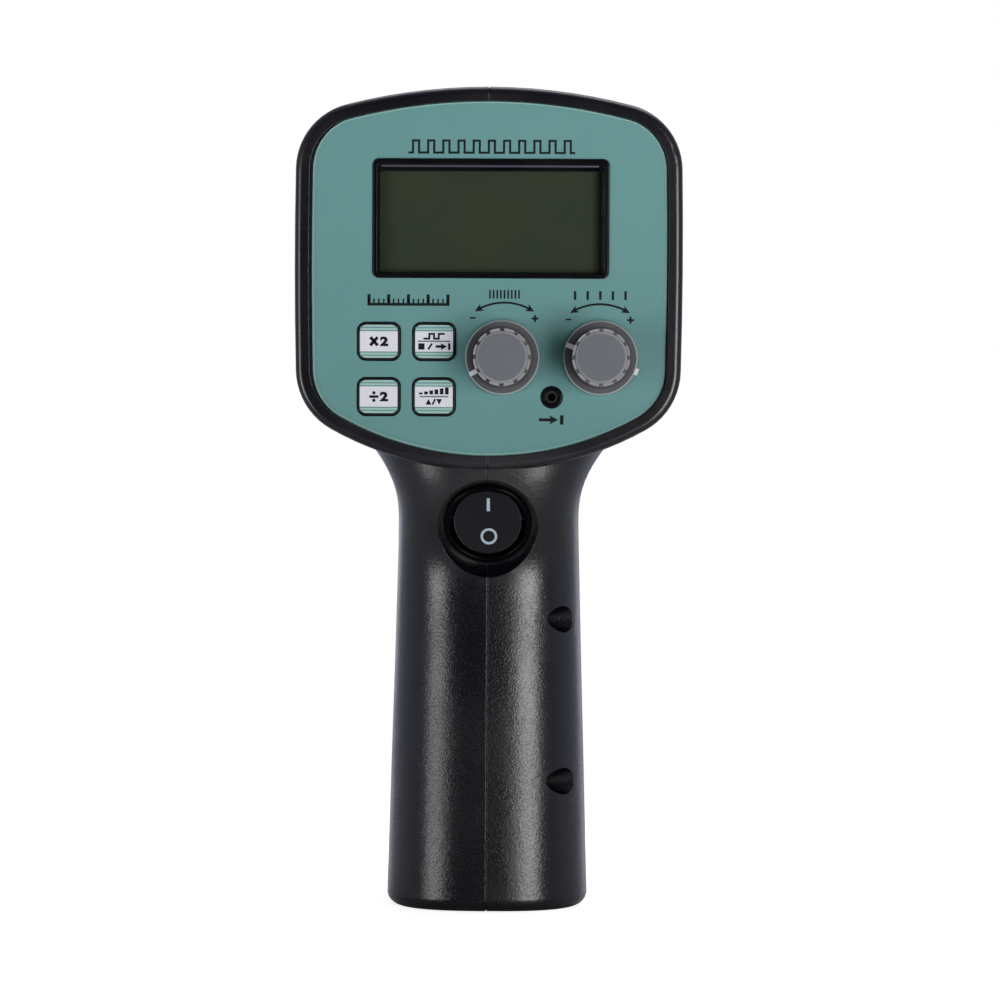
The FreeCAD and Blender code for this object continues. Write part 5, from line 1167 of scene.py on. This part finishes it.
    def add(self) -> None:
        """Lays the painted gap shadow and the painted highlight round the film's edge, and the
        print on the film.
        """
        film = front_of("panel_overlay") - 3 * LIFT
        edge = outer_line("panel_overlay")
        gap_shadow = drawn_in(edge, self.gap_shadow)
        line = drawn_in(edge, [sum(pair) for pair in zip(self.gap_shadow, self.light)])
        scale = [self.plate(box_outline(*self.scale), LIFT), self.ticks(self.minor_ticks),
                 self.ticks(self.major_ticks)]
        # a black hoop as the painted shadow of the rim's gap, then a lighter hoop as a painted
        # highlight along the film's edge
        for name, mesh in (("film_border", hoop(edge, gap_shadow, film)),
                           ("film_edge_line", hoop(gap_shadow, line, film)),
                           ("title_pulses", self.title_line()), ("flash_scale", joined(scale)),
                           ("fine_marks", self.ticks(self.fine_ticks)),
                           ("coarse_marks", self.ticks(self.coarse_ticks)),
                           ("turn_marks", joined(self.turn_marks())),
                           ("input_mark", joined(self.trigger_input()))):
            finish = "film_edge" if name == "film_edge_line" else "black_ink"
            self.piece(name, "case", finish, mesh, "overlay_film")


class KeyMark(Enum):
    """What a key is printed with."""

    TIMES_TWO = "times_two"
    DIVIDE_TWO = "divide_two"
    TRIGGER = "trigger"
    RANGE = "range"


@dataclass
class Keys(Assembly):
    """Four key caps: black edge, pale bands above and below a lilac field, and their marks."""

    looks = {"key_black": tuple(f"key_{mark.value}" for mark in KeyMark)}
    flange: float = 0.6
    edge: float = 0.66
    corner: float = 1.6
    field: float = 5.2
    line: float = 0.28
    line_places: tuple[float, ...] = (2.72, 3.5)

    def band(self, width: float, height: float, sign: int) -> Outline:
        """Part of the key's face above or below its field.

        Args:
            width: width of the face.
            height: its height.
            sign: 1 for the part above, -1 for the one below.

        Returns:
            The outline.
        """
        half = self.field / 2
        kept = [(x, z) for x, z in rounded_outline(width, height, self.corner) if sign * z > half]
        kept.sort(key=lambda point: math.atan2(sign * point[1] - half, point[0]))
        return [(width / 2, sign * half)] + kept + [(-width / 2, sign * half)]

    def sign(self, mark: KeyMark) -> list[Outline]:
        """Strokes of a key's mark, but for its numeral.

        Args:
            mark: the mark.

        Returns:
            Their outlines.
        """
        if mark is KeyMark.TIMES_TWO:
            return [stroke([(-2.15, -z), (-0.3, z)], 0.78) for z in (1.05, -1.05)]
        if mark is KeyMark.DIVIDE_TWO:
            dots = [arc((-1.2, z), 0.42, 0, 345, 15) for z in (-0.95, 0.95)]
            return [box_outline(2.3, 0.66, -1.2, 0.0)] + dots
        if mark is KeyMark.TRIGGER:
            pulse = [(-2.7, 0.72), (-1.2, 0.72), (-1.2, 1.95), (0.0, 1.95), (0.0, 0.72),
                     (1.2, 0.72), (1.2, 1.95), (2.7, 1.95)]
            return [stroke(pulse, 0.5), box_outline(1.6, 1.6, -3.2, -1.25),
                    stroke([(-1.5, -2.0), (-0.5, -0.5)], 0.5), box_outline(1.7, 0.65, 1.25, -1.25),
                    [(1.8, -2.1), (3.3, -1.25), (1.8, -0.4)], box_outline(0.6, 1.7, 3.85, -1.25)]
        bars = [box_outline(0.92, 0.45 + 0.27 * step, -3.3 + 1.32 * step, 0.84 + 0.135 * step)
                for step in range(6)]
        return bars + [[(-2.1, -2.0), (-0.6, -2.0), (-1.35, -0.55)],
                       stroke([(-0.35, -2.0), (0.35, -0.55)], 0.45),
                       [(0.6, -0.55), (1.35, -2.0), (2.1, -0.55)]]

    def cap(self, mark: KeyMark) -> None:
        """Builds the face and the mark of one key.

        Args:
            mark: the key's mark.
        """
        node = f"key_{mark.value}"
        low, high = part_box(node)
        width, height = (side / MM - 2 * (self.flange + self.edge)
                         for side in (high.x - low.x, high.z - low.z))
        place = Matrix.Translation(((low.x + high.x) / 2, 0.0, (low.z + high.z) / 2))
        face = front_of(node) - PRINT
        lines = [(width - 0.1 * index, self.line, 0.0, sign * z)
                 for sign in (1, -1) for index, z in enumerate(self.line_places)]
        marks = [slab(outline, face - PRINT) for outline in self.sign(mark)]
        parts = [("field", "key_centre", [slab(box_outline(width, self.field), face)]),
                 ("bands", "key_band", [slab(self.band(width, height, sign), face)
                                        for sign in (1, -1)]),
                 ("lines", "key_line", [slab(box_outline(*line), face - 2 * LIFT)
                                        for line in lines])]
        if mark in (KeyMark.TIMES_TWO, KeyMark.DIVIDE_TWO):
            marks.append(numeral("2", (2.1, 2.45), (1.35, 0.0), face - PRINT, 0.06))
        else:
            rule = box_outline(8.2 if mark is KeyMark.TRIGGER else 7.2, 0.4, 0.0, 0.06)
            parts.append(("rule", "key_rule", [slab(rule, face - 3 * LIFT)]))
        for part, finish, meshes in parts + [("mark", "black_ink", marks)]:
            self.piece(f"{node}_{part}", f"{mark.value}_button", finish,
                       moved(joined(meshes), place), "key_plastic")

    def add(self) -> None:
        """Builds all four."""
        for mark in KeyMark:
            self.cap(mark)


@dataclass
class Knobs(Assembly):
    """The two speed knobs with their white pointers, and light slabs on their gripping lands as
    painted highlights.
    """

    looks = {"white_paint": ("fine_pointer", "coarse_pointer")}
    lands: int = 12
    inner: float = 6.5
    outer: float = 7.22
    span: float = 20.5
    collar: float = 1.2
    rise: float = 0.06

    def add(self) -> None:
        """Dresses the knobs in grey with painted highlight and shade, and lays light slabs round
        their caps as painted highlights on the lands.
        """
        pitch = 360 / self.lands
        start, end = (pitch - self.span) / 2, (pitch + self.span) / 2
        outline = arc(ORIGIN, self.outer, start, end, 8) + arc(ORIGIN, self.inner, end, start, 8)
        for name in ("fine", "coarse"):
            axis = place_of(frame["record"]["behaviour"]["joints"], f"{name}_turn")
            # cap grey, then the painted highlight of the bevel, the painted shade of the skirt and
            # the painted highlight of the rim
            plastic = KnobPlastic(f"{name}_knob_grey", tint(97, 102, 109), tint(146, 148, 152),
                                  tint(76, 78, 84), tint(172, 172, 174), axis)
            dress(plastic.build(), f"{name}_knob")
            face = front_of(f"{name}_knob") + self.collar - self.rise
            # light slabs on the lands: painted highlight
            lands = self.repeats.row(slab(outline, face, self.rise), self.lands,
                                     self.finishes["knob_land"], turn=(0.0, pitch, 0.0),
                                     centre=(axis.x, 0.0, axis.z))
            self.piece(f"{name}_lands", f"{name}_knob_set", "knob_land", lands, "knob_plastic")


@dataclass
class TriggerJack(Assembly):
    """Jack under the knobs, with the six-sided contact that shows in its mouth."""

    looks = {"bezel_black": ("trigger_jack",)}
    across: float = 3.3
    bore: float = 1.1
    depth: float = 0.7
    thickness: float = 1.2

    def add(self) -> None:
        """Sets the contact into the jack's bore."""
        place = place_of(frame["record"]["mounts"], "trigger_jack") / MM
        inner = []
        for turn in range(0, 360, 15):
            reach = (self.bore * math.cos(math.radians(30))
                     / math.cos(math.radians(turn % 60 - 30)))
            inner += arc((place.x, place.z), reach, turn, turn, 1)[:1]
        contact = hoop(circle(self.across / 2, 24, (place.x, place.z)), inner,
                       front_of("trigger_jack") + self.depth, self.thickness)
        self.piece("jack_contact", "case", "jack_contact", contact, "steel")


@dataclass
class Display(Assembly):
    """Display frame, window, glass, holder and contact strips."""

    looks = {"bezel_black": ("display_bezel",), "window_acrylic": ("display_window",),
             "display_glass": ("lcd_panel",), "white_plastic": ("lcd_holder",),
             "contact_rubber": ("contact_strips",)}
    bead_ends: Point = (-27.4, 28.0)
    bead_z: float = 189.95
    bead_depth: float = 0.62
    bead_radius: float = 0.34
    bead_taper: tuple[Point, ...] = ((0.0, 0.05), (0.25, 0.7), (0.8, 1.0))

    def add(self) -> None:
        """Lays a raised bead with rounded ends along the top of the frame, painted lighter than the
        frame as a highlight.
        """
        front = front_of("display_bezel") + self.bead_depth
        left, right = self.bead_ends
        stations = ([(left + inset, share) for inset, share in self.bead_taper]
                    + [(right - inset, share) for inset, share in self.bead_taper[::-1]])
        rings = [[Vector((x, front + dy, self.bead_z + dz)) * MM
                  for dy, dz in circle(self.bead_radius * share, 24)] for x, share in stations]
        self.piece("bezel_bead", "case", "bezel_bead", smoothed(skin(rings), 60.0),
                   "bezel_plastic")


@dataclass
class RockerSwitch(Assembly):
    """Round mains switch in the neck, its rocker marked I and O."""

    looks = {"switch_frame": ("switch_body",), "rocker_nylon": ("switch_rocker",)}
    tilt: float = 28.0
    seat: tuple[float, float, float] = (0.0, -37.0, 99.7)
    pivot_depth: float = 2.4
    swing: float = 24.0
    hollow_radius: float = 60.0
    hollow_floor: float = -1.7
    stroke_on: tuple[float, ...] = (0.8, 3.5, 0.15, 4.6)  # width, height, middle
    ring_off: tuple[float, ...] = (2.12, 1.5, 0.3, -3.9)  # radii, middle
    front: float = -0.03
    thickness: float = 0.05

    def on_face(self, mesh: Mesh) -> Mesh:
        """Lays a flat mark on the hollowed face of the rocker as it rests.

        Args:
            mesh: the mark, flat.

        Returns:
            The same mesh, in place.
        """
        for vertex in mesh.vertices:
            sag = math.sqrt(self.hollow_radius ** 2 - (vertex.co.z / MM) ** 2)
            vertex.co.y += (self.hollow_floor - self.hollow_radius + sag) * MM
        pivot = Vector((0.0, self.pivot_depth, 0.0)) * MM
        seated, rocked = (Matrix.Translation(place)
                          @ Matrix.Rotation(math.radians(angle), 4, "X") for place, angle in
                          ((Vector(self.seat) * MM, self.tilt), (pivot, -self.swing / 2)))
        return moved(mesh, seated @ rocked @ Matrix.Translation(-pivot))

    def add(self) -> None:
        """Prints the rocker."""
        width, height, x, z = self.stroke_on
        heights = [height * step / 6 - height / 2 for step in range(7)]
        upright = ([(x + width / 2, z + dz) for dz in heights]
                   + [(x - width / 2, z + dz) for dz in heights[::-1]])
        outer, inner, x, z = self.ring_off
        marks = [slab(upright, self.front, self.thickness),
                 hoop(circle(outer, 60, (x, z)), circle(inner, 60, (x, z)), self.front,
                      self.thickness)]
        self.piece("rocker_marks", "rocker", "mark_white", self.on_face(joined(marks)),
                   "pointer_paint")


class Lamp(Assembly):
    """Reflector, tube, lens and what holds them."""

    looks = {"spun_aluminium": ("reflector",), "quartz": ("flash_tube",),
             "plated_steel": ("tube_electrodes", "trigger_wire"),
             "white_ceramic": ("tube_base",), "clear_acrylic": ("lens_window",),
             "black_rubber": ("lens_gasket",)}


@dataclass
class Electronics(Assembly):
    """Boards, transformers, inlet and wiring."""

    looks = {"circuit_board": ("control_board", "power_board"),
             "chip_epoxy": ("control_chips", "key_switches", "trigger_transformer"),
             "plated_steel": ("board_screws", "pot_nuts", "pot_washers"),
             "nickel_turned": ("fine_pot_shaft", "coarse_pot_shaft", "fine_potentiometer",
                               "coarse_potentiometer"),
             "tinned_brass": ("pot_terminals", "switch_terminals", "inlet_pins", "fuse_clips"),
             "capacitor_sleeve": ("flash_capacitors",), "quartz": ("fuse",),
             "winding_tape": ("transformer_winding",), "bezel_black": ("mains_inlet",),
             "lead_brown": ("mains_leads", "transformer_leads"),
             "ribbon_grey": ("ribbon_cable",)}
    plates: int = 26
    plate_gap: float = 0.06
    turns: int = 19
    wire: float = 0.36
    coil_corner: float = 3.0
    coil_margin: float = 0.6

    def laminations(self) -> Mesh:
        """Stack of core plates with varnish gaps between them.

        Returns:
            The mesh.
        """
        low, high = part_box("transformer_core")
        pitch = (high.y - low.y) / self.plates
        thick = pitch - self.plate_gap * MM
        made = opened(frame["nodes"]["transformer_core"].data, weld=WELD)
        for vertex in made.verts:
            vertex.co.y = low.y + (thick if vertex.co.y > (low.y + high.y) / 2 else 0.0)
        bmesh.ops.dissolve_limit(made, angle_limit=0.01, verts=made.verts, edges=made.edges)
        return self.repeats.row(shut(made), self.plates, self.finishes["laminated_steel"],
                                (0.0, pitch, 0.0))

    def coil(self) -> Mesh:
        """Turns of wire laid round the taped coil.

        Returns:
            The mesh.
        """
        low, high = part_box("transformer_winding")
        centre = (low + high) / 2
        size = (high - low) / MM
        outline = rounded_outline(size.x, size.y, self.coil_corner, 6)
        first = low.z / MM + self.coil_margin
        rings = [[Vector((x, y, first + up)) * MM + Vector((centre.x, centre.y, 0.0))
                  for x, y in drawn_in(outline, [-out] * 4)] for out, up in circle(self.wire, 6)]
        pitch = (size.z - 2 * self.coil_margin) / (self.turns - 1)
        return self.repeats.row(smoothed(skin(rings, True), 70.0), self.turns,
                                self.finishes["copper_wire"], (0.0, 0.0, pitch * MM))

    def add(self) -> None:
        """Builds the core's plates and the coil's wire."""
        self.piece("core_plates", "case", "laminated_steel", self.laminations(), "lamination",
                   "transformer_core")
        self.piece("coil_turns", "case", "copper_wire", self.coil(), "winding_tape")


def main() -> None:
    """Builds the studio and every sub-assembly."""
    logging.basicConfig(level=logging.INFO, format="%(name)s: %(message)s")
    Studio().build()
    finishes, repeats = shared_finishes(), Repeats()
    for assembly in (Case, PanelPrint, Keys, Knobs, TriggerJack, Display, RockerSwitch, Lamp,
                     Electronics):
        log.info("%s", assembly.__name__)
        assembly(finishes, repeats).build()


if __name__ == "__main__":
    main()
